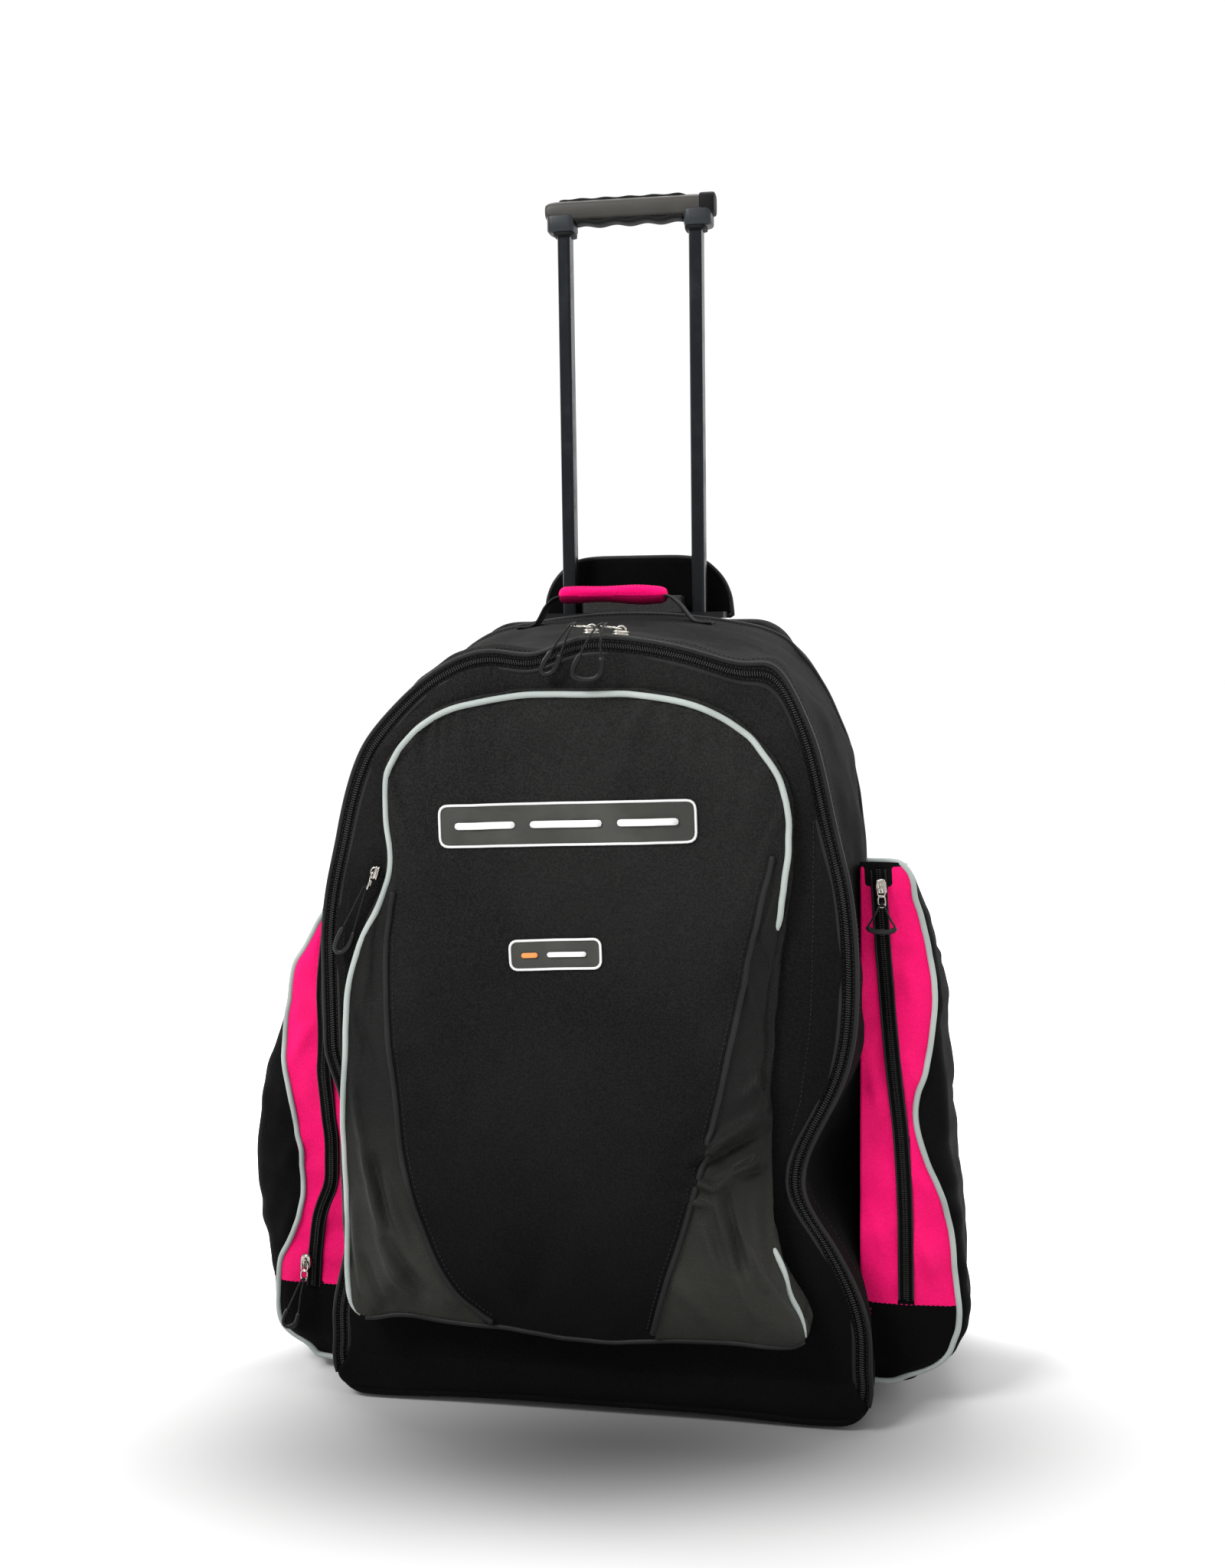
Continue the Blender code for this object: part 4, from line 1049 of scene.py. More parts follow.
# --- Front pocket -------------------------------------------------------------------------------------------
POCKET_RIM = [
    (-0.152, 0.1060), (-0.174, 0.1050), (-0.193, 0.0965), (-0.2065, 0.103), (-0.2120, 0.135), (-0.2165, 0.190),
    (-0.2215, 0.290),
    (-0.2190, 0.369), (-0.2030, 0.428), (-0.1790, 0.470), (-0.1725, 0.498), (-0.1790, 0.538), (-0.1730, 0.586),
    (-0.1340, 0.628), (-0.0700, 0.6470), (0.0090, 0.6520), (0.0680, 0.648), (0.1180, 0.6345), (0.1570, 0.6080),
    (0.1830, 0.567), (0.1900, 0.514), (0.1820, 0.459), (0.1665, 0.371), (0.1580, 0.289), (0.1570, 0.215),
    (0.1630, 0.182), (0.1800, 0.150), (0.1975, 0.126), (0.2030, 0.107), (0.1900, 0.098), (0.1380, 0.095),
    (0.0660, 0.0915), (-0.0070, 0.0890), (-0.0680, 0.0960), (-0.1150, 0.1000),
]
SEAM_LEFT = [(-0.1660, 0.485), (-0.1720, 0.432), (-0.1705, 0.363), (-0.1620, 0.295), (-0.1500, 0.225),
             (-0.1240, 0.157), (-0.0970, 0.112), (-0.0690, 0.085)]
SEAM_RIGHT = [(0.1770, 0.520), (0.1620, 0.465), (0.1460, 0.399), (0.1230, 0.306), (0.0990, 0.217),
              (0.0750, 0.140), (0.0610, 0.078)]
POCKET_BACK = -0.1668


def pocket_depth(z, edge):
    """How far the pocket's face stands off the door, by its height and the distance from its rim."""
    down = np.clip((POCKET_HIGH.z - z) / (POCKET_HIGH.z - POCKET_LOW.z), 0, 1)
    rim = 0.010 + 0.026 * down
    crown = (0.005 + 0.024 * down**1.3) * (1 - (1 - np.clip(edge / 0.085, 0, 1)) ** 2)
    return rim + crown


def pocket_face(loop, edge, share=1.0):
    """(x, z) points of the pocket as places in space, as deep as their distance from the rim makes them."""
    return at_depth(loop, POCKET_BACK - pocket_depth(loop[:, 1], edge) * share)


def seam_x(seam, z):
    """A seam's x at each height, held past its ends."""
    line = through(seam, 80)[::-1]
    return np.interp(z, line[:, 1], line[:, 0])


POCKET_FOLDS = [
    ((0.094, 0.250), (0.158, 0.288), 0.0055, 0.0060), ((0.104, 0.246), (0.158, 0.272), 0.0038, -0.0042),
    ((0.088, 0.238), (0.120, 0.228), 0.0045, 0.0050), ((0.118, 0.229), (0.157, 0.252), 0.0045, 0.0058),
    ((0.100, 0.262), (0.124, 0.258), 0.0040, 0.0036), ((0.128, 0.236), (0.156, 0.238), 0.0036, -0.0040),
    ((0.092, 0.220), (0.112, 0.214), 0.0040, 0.0036), ((0.138, 0.300), (0.156, 0.318), 0.0050, 0.0034),
    ((0.118, 0.222), (0.134, 0.166), 0.0040, 0.0065), ((0.126, 0.222), (0.143, 0.160), 0.0035, -0.0050),
    ((0.134, 0.168), (0.150, 0.118), 0.0055, 0.0045), ((0.150, 0.215), (0.160, 0.150), 0.0050, 0.0050),
    ((0.108, 0.196), (0.124, 0.150), 0.0045, 0.0030), ((0.086, 0.150), (0.110, 0.110), 0.0080, 0.0030),
    ((0.160, 0.170), (0.190, 0.120), 0.0060, 0.0035), ((0.150, 0.330), (0.162, 0.290), 0.0050, 0.0030),
    ((0.140, 0.420), (0.158, 0.350), 0.0050, 0.0025), ((0.150, 0.440), (0.166, 0.390), 0.0040, -0.0020),
    ((-0.192, 0.245), (-0.172, 0.176), 0.0045, 0.0050), ((-0.182, 0.240), (-0.163, 0.180), 0.0040, -0.0042),
    ((-0.170, 0.225), (-0.148, 0.168), 0.0045, 0.0048), ((-0.178, 0.178), (-0.150, 0.122), 0.0050, 0.0052),
    ((-0.166, 0.170), (-0.136, 0.120), 0.0040, -0.0045), ((-0.152, 0.168), (-0.112, 0.112), 0.0060, 0.0042),
    ((-0.204, 0.200), (-0.196, 0.120), 0.0060, 0.0045), ((-0.190, 0.150), (-0.172, 0.106), 0.0045, -0.0040),
    ((-0.202, 0.300), (-0.186, 0.230), 0.0050, 0.0030), ((-0.195, 0.360), (-0.178, 0.300), 0.0050, -0.0020),
    ((-0.060, 0.300), (0.060, 0.180), 0.0250, 0.0026), ((-0.080, 0.420), (0.020, 0.330), 0.0300, -0.0024),
    ((0.010, 0.260), (0.050, 0.130), 0.0200, 0.0028), ((-0.110, 0.330), (-0.060, 0.200), 0.0220, 0.0026),
    ((-0.020, 0.180), (-0.050, 0.105), 0.0140, -0.0026), ((-0.100, 0.180), (-0.040, 0.110), 0.0100, 0.0022),
    ((0.120, 0.600), (0.165, 0.520), 0.0120, 0.0018), ((-0.150, 0.600), (-0.130, 0.520), 0.0100, 0.0016),
]
SHARP_WIDTH, SHARPER = 0.0085, 1.5   # folds narrower than this are this many times as high
POCKET_CENTRE = np.array([0.0, 0.36])
POCKET_STEPS = (0.015, 0.035, 0.06, 0.09, 0.13, 0.18, 0.24, 0.31, 0.40, 0.5, 0.62, 0.76, 0.9, 0.985)


def front_pocket():
    loop = through(POCKET_RIM + POCKET_RIM[:1], 361)[:-1]
    away = np.linalg.norm(loop - POCKET_CENTRE, axis=1)
    rows = [pocket_face(inset(loop, shrink), 0.0, share)
            for share, shrink in ((0.0, 0.0050), (0.35, 0.0012), (0.7, -0.0006), (1.0, 0.0))]
    rings = fan(loop, POCKET_CENTRE, POCKET_STEPS)
    rows += [pocket_face(ring, away * step) for step, ring in zip(POCKET_STEPS, rings)]
    made = grid("front_pocket_bag", rows, FRONT, around=True, ends=True)
    rest = inflate(made, voxel=0.0045, pressure=1.2, frames=22, cap=0.012, gravity=0.35, stiffness=14.0,
                   bending=0.15, held=lambda p: p[1] > POCKET_BACK - 0.002)
    carry = Carrier(rest, coordinates(made))
    left, right = seam_x(SEAM_LEFT, rest[:, 2]), seam_x(SEAM_RIGHT, rest[:, 2])
    charcoal = np.maximum(left - rest[:, 0], rest[:, 0] - right)
    charcoal = np.where(rest[:, 2] > 0.50, -0.01, charcoal)
    mark(made, "charcoal", charcoal)
    baked(subdivide(made))
    moved = coordinates(made)
    folds = [(a, b, width, height * (SHARPER if width < SHARP_WIDTH else 1.0))
             for a, b, width, height in POCKET_FOLDS]
    front = ease((POCKET_BACK - 0.004 - moved[:, 1]) / 0.006)
    shaped = creased(moved, folds)
    shaped[:, 1] -= rumple(moved, 0.090, 0.0045, 6) + rumple(moved, 0.030, 0.0016, 7)
    moved = moved + (shaped - moved) * front[:, None]
    set_coordinates(made, moved)
    place(made, "door", "front_pocket_cloth", "front_pocket")
    tree = surface(made)
    pocket_trim(loop, carry, tree)
    return tree


def pocket_trim(loop, carry, tree):
    """Piping, seams and stitches of the front pocket."""
    rim = carry(pocket_face(loop, 0.0))
    start = int(np.argmin(np.hypot(loop[:, 0] + 0.200, loop[:, 1] - 0.098)))
    ordered = np.roll(rim, -start, axis=0)
    flat = np.roll(loop, -start, axis=0)
    end = int(np.argmin(np.hypot(flat[:, 0] - 0.203, flat[:, 1] - 0.104)))
    line, _ = on_surface(tree, smoothed(ordered[:end], 2), 0.0010)
    hidden = ease((0.452 - line[:, 2]) / 0.03) * ease((line[:, 2] - 0.165) / 0.03) * (line[:, 0] > 0.1)
    line[:, 0] -= 0.010 * hidden
    line[:, 1] += 0.012 * hidden
    line = smoothed(line, 3)
    radii = np.full(len(line), 0.0027)
    radii[:6] = np.linspace(0.0008, 0.0027, 6)
    radii[-6:] = np.linspace(0.0027, 0.0008, 6)
    bar("pocket_piping", line, 0.0027, PIPING, "door", "front_pocket_cloth", 10, radii=radii)
    hem_line, _ = on_surface(tree, np.roll(rim, -start - end, axis=0)[: len(rim) - end], 0.0008)
    bar("pocket_hem", smoothed(hem_line, 3), 0.0024, BLACK_PIPING, "door", "front_pocket_cloth")
    for label, seam in (("left", SEAM_LEFT), ("right", SEAM_RIGHT)):
        flat = through(seam, 150)[4:-2]
        flat = flat[flat[:, 1] > 0.092]
        line, normals = on_surface(tree, carry(pocket_face(flat, 0.05)), 0.0012)
        line = smoothed(line, 3)
        bar(f"panel_piping_{label}", line, 0.0026, BLACK_PIPING, "door", "front_pocket_cloth", 10)
        side = np.cross(frames_along(line), normals)
        way = 1.0 if side[40, 0] * (1 if label == "left" else -1) > 0 else -1.0
        beside, normals = on_surface(tree, line + side * way * 0.0058)
        sew(f"panel_stitches_{label}", beside, normals, "door", "front_pocket_cloth")


def leaning(points, lean):
    """(a, b) points turned by lean radians."""
    a, b = points.T
    return np.stack([a * math.cos(lean) - b * math.sin(lean), a * math.sin(lean) + b * math.cos(lean)], axis=1)


def rounded_patch(width, height, radius, lean, count=96):
    """A rounded rectangle's outline, (a, b) about its centre, tilted by lean radians."""
    turn = turns(count)
    a = np.clip(np.cos(turn) * 10, -1, 1) * (width / 2 - radius) + radius * np.cos(turn)
    b = np.clip(np.sin(turn) * 10, -1, 1) * (height / 2 - radius) + radius * np.sin(turn)
    return leaning(spaced(np.stack([a, b], axis=1), count, closed=True), lean)


def forward_of(tree, x, z, missing):
    """The depth of a surface at (x, z), seen from the front, or the missing value where there is none."""
    spot, _, _, _ = tree.ray_cast(Vector((x, -0.30, z)), Vector((0, 1, 0)))
    return spot.y if spot else missing


PATCH_PLANE = -0.19   # where a patch lies if the pocket is missed behind it


def draped(name, rings, tree, lift, material, thickness=0.0008):
    """Rings of (x, z), the last one filled, dropped onto a surface from the front."""
    rows = [[(x, forward_of(tree, x, z, PATCH_PLANE) - lift, z) for x, z in ring] for ring in rings]
    return wall(fill_last(grid(name, rows, material, around=True), len(rings[0])), thickness, 0.0)


def sewn_patches(tree):
    """Two plain patches: a light border, a dark field and a few bars."""
    for label, centre, size, lean, bars in (
        ("large", (-0.0085, 0.5315), (0.222, 0.037), 0.030, ((-0.070, 0.052), (0.0, 0.062), (0.070, 0.052))),
        ("small", (-0.0180, 0.4210), (0.080, 0.0265), 0.045, ((-0.022, 0.014), (0.010, 0.034))),
    ):
        width, height = size
        outline = rounded_patch(width, height, 0.0065, lean)
        rings = [np.array(centre) + outline * share for share in (1.0, 0.97, 0.9, 0.75, 0.55, 0.3, 0.05)]
        place(draped(f"patch_{label}", rings, tree, 0.0009, PATCH), "door", "front_pocket_cloth")
        edge = [(x, forward_of(tree, x, z, PATCH_PLANE) - 0.0014, z)
                for x, z in np.array(centre) + rounded_patch(width - 0.002, height - 0.002, 0.0060, lean, 160)]
        bar(f"patch_border_{label}", smoothed(edge, 1, True), 0.0011, BORDER, "door", "front_pocket_cloth",
            closed=True)
        for number, (at, long) in enumerate(bars):
            material = ACCENT if label == "small" and number == 0 else BORDER
            shape = rounded_patch(long, height * 0.16, height * 0.075, lean, 48)
            middle = np.array(centre) + np.array([at * math.cos(lean), at * math.sin(lean)])
            rings = [middle + shape * share for share in (1.0, 0.7, 0.3, 0.05)]
            place(draped(f"patch_bar_{label}_{number}", rings, tree, 0.0023, material, 0.0010), "door",
                  "front_pocket_cloth")


# --- Side pockets -------------------------------------------------------------------------------------------
SIDE_SHAPES = {
    "right": {
        "edge": [(0.2790, 0.4870), (0.2850, 0.470), (0.2945, 0.436), (0.3025, 0.387), (0.3060, 0.318),
                 (0.3105, 0.262), (0.3185, 0.199), (0.3265, 0.128), (0.3250, 0.075), (0.3130, 0.045),
                 (0.2900, 0.028)],
        "piping": [(0.2400, 0.4925), (0.2620, 0.4915), (0.2750, 0.4870), (0.2825, 0.475), (0.2920, 0.436),
                   (0.3000, 0.383), (0.2965, 0.334), (0.2840, 0.290), (0.2850, 0.250), (0.3040, 0.200),
                   (0.3150, 0.163), (0.3205, 0.110), (0.3210, 0.072), (0.3120, 0.045), (0.2930, 0.0300),
                   (0.2600, 0.0255), (0.2420, 0.0260)],
        "zip": [(0.2500, 0.486), (0.2540, 0.425), (0.2600, 0.350), (0.2660, 0.290), (0.2705, 0.250),
                (0.2740, 0.190), (0.2755, 0.105)],
        "top": 0.4925, "bottom": 0.0250, "pink_low": 0.100,
    },
    "left": {
        "edge": [(0.2480, 0.4500), (0.2610, 0.4250), (0.2850, 0.392), (0.2945, 0.357), (0.3040, 0.326),
                 (0.3160, 0.285), (0.3275, 0.209), (0.3255, 0.159), (0.3190, 0.097), (0.3170, 0.055),
                 (0.2900, 0.020)],
        "piping": [(0.2400, 0.4500), (0.2530, 0.4290), (0.2800, 0.394), (0.2900, 0.357), (0.2920, 0.328),
                   (0.2880, 0.280), (0.2790, 0.215), (0.2785, 0.172), (0.2930, 0.127), (0.3030, 0.104),
                   (0.3090, 0.062), (0.3060, 0.038), (0.2930, 0.0190), (0.2650, 0.0110), (0.2450, 0.0110)],
        "zip": [(0.2430, 0.435), (0.2490, 0.380), (0.2520, 0.318), (0.2510, 0.267), (0.2475, 0.223),
                (0.2495, 0.187), (0.2590, 0.160), (0.2660, 0.125), (0.2700, 0.085)],
        "top": 0.4600, "bottom": 0.0130, "pink_low": 0.088,
    },
}
SIDE_FRONT = -0.1165
SIDE_ROOT = 0.2335   # where the side pockets meet the body
PLEATS = (
    (0.245, 0.44, 0.262, 0.40, 0.006, 0.0016), (0.272, 0.40, 0.288, 0.36, 0.006, 0.0022),
    (0.268, 0.33, 0.286, 0.30, 0.006, 0.0020), (0.276, 0.23, 0.296, 0.20, 0.007, 0.0024),
    (0.282, 0.17, 0.300, 0.13, 0.007, 0.0020), (0.240, 0.33, 0.252, 0.27, 0.005, 0.0014),
    (0.242, 0.19, 0.260, 0.14, 0.005, 0.0014),
)


def side_profile(reach, front, back):
    """A pocket's section in plan, from the body round its outside and back: (x past the body, y)."""
    soft = min(0.030, reach * 0.5)
    corner = [(reach - soft + soft * math.sin(a), front + soft * 0.7 - soft * 0.7 * math.cos(a))
              for a in np.linspace(0, math.pi / 2, 12)]
    far = min(0.034, reach * 0.6)
    rear = [(reach - far + far * math.cos(a), back - far * 0.8 + far * 0.8 * math.sin(a))
            for a in np.linspace(0, math.pi / 2, 10)]
    outer = np.array([(0.0, front), *corner, *rear, (0.0, back)])
    return spaced(outer, 84)


def side_pocket(side_name, way, shell):
    shape = SIDE_SHAPES[side_name]
    edge = through(shape["edge"], 120)[::-1]
    root = SIDE_ROOT
    top, bottom = shape["top"], shape["bottom"]
    heights = bottom + (top - bottom) * (0.5 - 0.5 * np.cos(np.linspace(0, math.pi, 96)))
    rows = []
    for z in heights:
        reach = np.interp(z, edge[:, 1], edge[:, 0]) - root
        up, down = (top - z) / 0.010, (z - bottom) / 0.014
        tuck = 1 - 0.10 * (1 - ease(up)) - 0.06 * (1 - ease(down))
        front = SIDE_FRONT + 0.030 * (1 - ease((z - bottom) / 0.03)) * 0.3
        back = 0.098 - 0.035 * (1 - ease((top - z) / 0.05)) - 0.02 * (1 - ease((z - bottom) / 0.04))
        rows.append([(root + x, y, z) for x, y in side_profile(reach * tuck, front, back)])
    rows = np.array(rows)
    caps = []
    for base, lift in ((rows[0], -0.0016), (rows[-1], 0.0016)):
        middle = base.mean(axis=0) * np.array([0, 1, 1]) + np.array([root + 0.01, 0, 0])
        caps.append([base + (middle - base) * share + np.array([0, 0, lift * math.sqrt(share)])
                     for share in (0.12, 0.3, 0.55, 0.85)])
    rows = np.array(caps[0][::-1] + list(rows) + caps[1])
    rows[:, :, 0] *= way
    made = grid("side_pocket_bag_" + side_name, rows, SIDE, around=True, ends=True)
    points = coordinates(made)
    x, y, z = points.T
    out = np.abs(x)
    loose = ease((out - root - 0.006) / 0.02) * ease((z - bottom) / 0.05) * ease((top - z) / 0.04)
    swell = 0.006 * hump(z, 0.32, 0.09) + 0.004 * hump(z, 0.15, 0.05)
    folds = rumple(points, 0.07, 0.0075, 8 + way) + rumple(points * (1, 0.6, 1.6), 0.030, 0.0032, 15)
    points[:, 0] += way * loose * (folds + swell * ease((y + 0.09) / 0.05))
    points[:, 2] -= 0.21 * (y - SIDE_FRONT) * ease((z - top + 0.16) / 0.15)
    face = ease((-0.085 - y) / 0.02)
    pleats = [((way * x0, z0), (way * x1, z1), width, 1.9 * height) for x0, z0, x1, z1, width, height in PLEATS]
    shaped = creased(points, pleats)
    shaped[:, 1] -= rumple(points, 0.034, 0.0042, 11) + rumple(points, 0.014, 0.0012, 12)
    points += (shaped - points) * face[:, None]
    set_coordinates(made, points)
    line = through(shape["piping"], 220) * np.array([way, 1.0])
    guess = at_depth(line, SIDE_FRONT + 0.004)
    mark_pink(made, shape, way, on_surface(surface(made), guess)[0], shell)
    subdivide(made)
    place(made, "bag", "pocket_canvas", "side_pocket_" + side_name)
    side_trim(side_name, way, shape, made, guess)


def mark_pink(obj, shape, way, piped, shell):
    """Pink is the front face inside the piping, clear of the zip, the top, the foot and the bag's inside."""
    points = coordinates(obj)
    x, y, z = points[:, 0] * way, points[:, 1], points[:, 2]
    piping = through(shape["piping"], 200)
    falling = piping[np.argmax(piping[:, 1] < piping[0, 1] - 0.003):]
    order = np.argsort(falling[:, 1])
    limit = np.interp(z, falling[order, 1], falling[order, 0])
    low = piped[len(piped) // 8:]
    low = low[np.argsort(low[:, 2])]
    behind = np.interp(z, low[:, 2], low[:, 1])
    line = through(shape["zip"], 120)[::-1]
    centre = np.interp(z, line[:, 1], line[:, 0])
    to_zip = np.abs(x - centre)
    front_face = np.maximum(behind + 0.0012 - y, np.minimum(limit - x - 0.007, -0.098 - y))
    below_top = np.maximum(shape["top"] - 0.021 - z, to_zip - 0.0115)
    inside = np.minimum.reduce([limit - x + 0.0005, x - 0.2350, to_zip - 0.0068, z - shape["pink_low"],
                                shape["top"] - 0.004 - z, front_face, below_top])
    within = [shell.ray_cast(Vector(point), Vector((way, 0, 0)), 0.03)[0] is not None for point in points]
    inside = np.where(within, np.minimum(inside, -0.0004), inside)
    mark(obj, "pink", inside)


def facing(tree, line, lift):
    """Points of (x, z) dropped onto a surface from the front."""
    spots = []
    for x, z in line:
        missing = spots[-1][1] + lift if spots else SIDE_FRONT
        spots.append((x, forward_of(tree, x, z, missing) - lift, z))
    return np.array(spots)


def side_trim(side_name, way, shape, pocket, guess):
    tree = surface(pocket)
    line, _ = on_surface(tree, guess, 0.0008)
    bar("side_piping_" + side_name, smoothed(line, 4), 0.0026, PIPING, "bag", "pocket_canvas", 10)
    centre = through(shape["zip"], 160) * np.array([way, 1.0])
    spine = smoothed(facing(tree, centre, 0.0008), 4)
    out = facing_front(len(spine))
    across = np.cross(out, frames_along(spine))
    ribbon("side_zip_tape_" + side_name, spine, across, out, 0.0125, 0.0012, BAND, "bag", "zip_tape",
           "side_zip_" + side_name)
    for number, sign in enumerate((1.0, -1.0)):
        line = spine + across * sign * 0.0026 - np.array([0, 0.0008, 0])
        coil = f"side_zip_coil_{side_name}_{number}"
        made = teeth(coil, line, -across * sign, out, COIL, 0.0019, 0.0026, 0.0009)
        place(made, "bag", "zip_tape")
        edge = spine + across * sign * 0.0060 - np.array([0, 0.0006, 0])
        bar(f"side_zip_ridge_{side_name}_{number}", edge, 0.0009, BLACK_PIPING, "bag", "zip_tape")
    low = shape["pink_low"]
    for seam, line in (("hem", [(way * x, low) for x in np.linspace(0.243, 0.316, 40)]),
                       ("root", [(way * 0.2445, z) for z in np.linspace(0.045, low - 0.002, 30)])):
        spots, normals = on_surface(tree, facing(tree, line, 0.0))
        sew(f"side_{seam}_stitches_{side_name}", spots, normals, "bag", "pocket_canvas", PINK_THREAD)


# --- Back: padded cover, straps, flap, carry handle -----------------------------------------------------------
QUILT_X, QUILT_Z = (-0.052, 0.052), (0.24, 0.38, 0.52)   # the back pad's quilted lines
PAD_STEPS = (0.02, 0.05, 0.09, 0.14, 0.2, 0.27, 0.35, 0.44, 0.54, 0.65, 0.77, 0.9, 0.98)


def pad_face(flat, edge, share=1.0):
    """(x, z) points of the back pad as places in space, by their distance from its rim."""
    x, z = flat.T
    swell = 0.0410 + 0.0060 * (1 - (1 - np.clip(edge / 0.05, 0, 1)) ** 2)
    for line in QUILT_X:
        swell -= 0.0055 * hump(x, line, 0.0060)
    for line in QUILT_Z:
        swell -= 0.0045 * hump(z, line, 0.0060) * ease((np.abs(x) - 0.050) / 0.012)
    return at_depth(flat, COVER_LOW.y + (COVER_LOW.y + swell - COVER_LOW.y) * share)


def back_cover():
    low, high = np.array([COVER_LOW.x, COVER_LOW.z]), np.array([COVER_HIGH.x, COVER_HIGH.z])
    centre, size = (low + high) / 2, high - low
    outline = (rounded_patch(*size, 0.045, 0.0, 300) + centre)[::-1]
    away = np.linalg.norm(outline - centre, axis=1)
    rows = [pad_face(inset(outline, shrink), 0.0, share)
            for share, shrink in ((0.0, 0.002), (0.3, 0.0), (0.8, 0.0), (1.0, 0.003))]
    rows += [pad_face(ring, away * step) for step, ring in zip(PAD_STEPS, fan(outline, centre, PAD_STEPS))]
    made = grid("back_pad", rows, CANVAS, around=True, ends=True)
    inflate(made, voxel=0.0050, pressure=0.8, frames=14, cap=0.005, held=lambda p: p[1] < COVER_HIGH.y - 0.012)
    points = coordinates(made)
    quilt = np.zeros(len(points))
    for line in QUILT_X:
        quilt += hump(points[:, 0], line, 0.0035) * ease((0.685 - points[:, 2]) / 0.02)
    for line in QUILT_Z:
        quilt += hump(points[:, 2], line, 0.0035) * ease((np.abs(points[:, 0]) - 0.052) / 0.006)
    outer = ease((points[:, 1] - COVER_HIGH.y + 0.014) / 0.006)
    points[:, 1] -= 0.0030 * np.clip(quilt, 0, 1) * outer
    set_coordinates(made, points)
    subdivide(made)
    place(made, "bag", "black_canvas", "back_cover")
    tree = surface(made)
    rim = [(x, COVER_HIGH.y - 0.003, z) for x, z in inset(outline, 0.0010)]
    spots, _ = on_surface(tree, rim, 0.0006)
    bar("back_pad_piping", smoothed(spots, 3, True), 0.0024, BLACK_PIPING, "bag", "black_canvas", closed=True)
    for number, x in enumerate(QUILT_X):
        spots, _ = on_surface(tree, [(x, 0.19, z) for z in np.linspace(0.14, 0.675, 150)])
        spots[:, 0] = x
        sew(f"back_pad_stitches_{number}", smoothed(spots, 8), -facing_front(150), "bag", "black_canvas")


STRAP_TOP, STRAP_FOOT = 0.612, 0.292   # above and below these the strap's pad is sewn down


def strap_rows(path, width, thick, way, count=60):
    """Oval sections along a path in space, widest across X."""
    line = through(path, count)
    along = frames_along(line)
    across = np.tile([1.0, 0.0, 0.0], (count, 1)) - along * along[:, :1]
    across /= np.linalg.norm(across, axis=1)[:, None]
    out = np.cross(across, along)
    cosines, sines = squared(turns(28), 0.55)
    a, b = cosines * width / 2, sines * thick / 2
    end = np.minimum(1.0, np.minimum(np.arange(count) + 1.5, count + 0.5 - np.arange(count)) / 3.0) ** 0.5
    rows = line[:, None] + across[:, None] * a[None, :, None] * end[:, None, None] ** 0.3
    rows = rows + out[:, None] * b[None, :, None] * end[:, None, None]
    rows[:, :, 0] *= way
    mirror = np.array([way, 1, 1])
    return rows, line * mirror, across * mirror, out * mirror


def straps():
    pad = ((0.045, 0.1745, 0.615), (0.050, 0.197, 0.585), (0.058, 0.213, 0.520), (0.070, 0.214, 0.440),
           (0.082, 0.205, 0.360), (0.092, 0.190, 0.290))
    web = ((0.0945, 0.1815, 0.256), (0.104, 0.1765, 0.200), (0.116, 0.1730, 0.150), (0.118, 0.1695, 0.124))
    for side_name, way in (("left", -1.0), ("right", 1.0)):
        rows, line, across, out = strap_rows(pad, 0.052, 0.0105, way)
        made = grid("strap_pad_" + side_name, rows, CANVAS, around=True, ends=True)
        inflate(made, voxel=0.0040, pressure=2.0, frames=16, cap=0.003,
                held=lambda p: p[2] > STRAP_TOP or p[2] < STRAP_FOOT)
        subdivide(made)
        place(made, "bag", "black_canvas", "shoulder_strap_" + side_name)
        tree = surface(made)
        for number, sign in enumerate((-1.0, 1.0)):
            spots, _ = on_surface(tree, line[1:-1] + across[1:-1] * sign * 0.0255, 0.0003)
            binding = f"strap_binding_{side_name}_{number}"
            bar(binding, smoothed(spots, 3), 0.0022, BLACK_PIPING, "bag", "black_canvas")
            spots, normals = on_surface(tree, line[2:-2] + across[2:-2] * sign * 0.0200 + out[2:-2] * 0.01)
            sew(f"strap_stitches_{side_name}_{number}", spots, normals, "bag", "black_canvas")
        spine, _ = on_surface(tree, line[2:-1] + out[2:-1] * 0.02, 0.0012)
        ribbon(f"strap_runner_{side_name}", smoothed(spine, 3), across[2:-1], out[2:-1], 0.020, 0.0014, WEBBING,
               "bag", "webbing")
        _, line, across, out = strap_rows(web, 0.024, 0.002, way, 50)
        ribbon("strap_lower_" + side_name, line, across, out, 0.0235, 0.0020, WEBBING, "bag", "webbing",
               "strap_web_" + side_name)


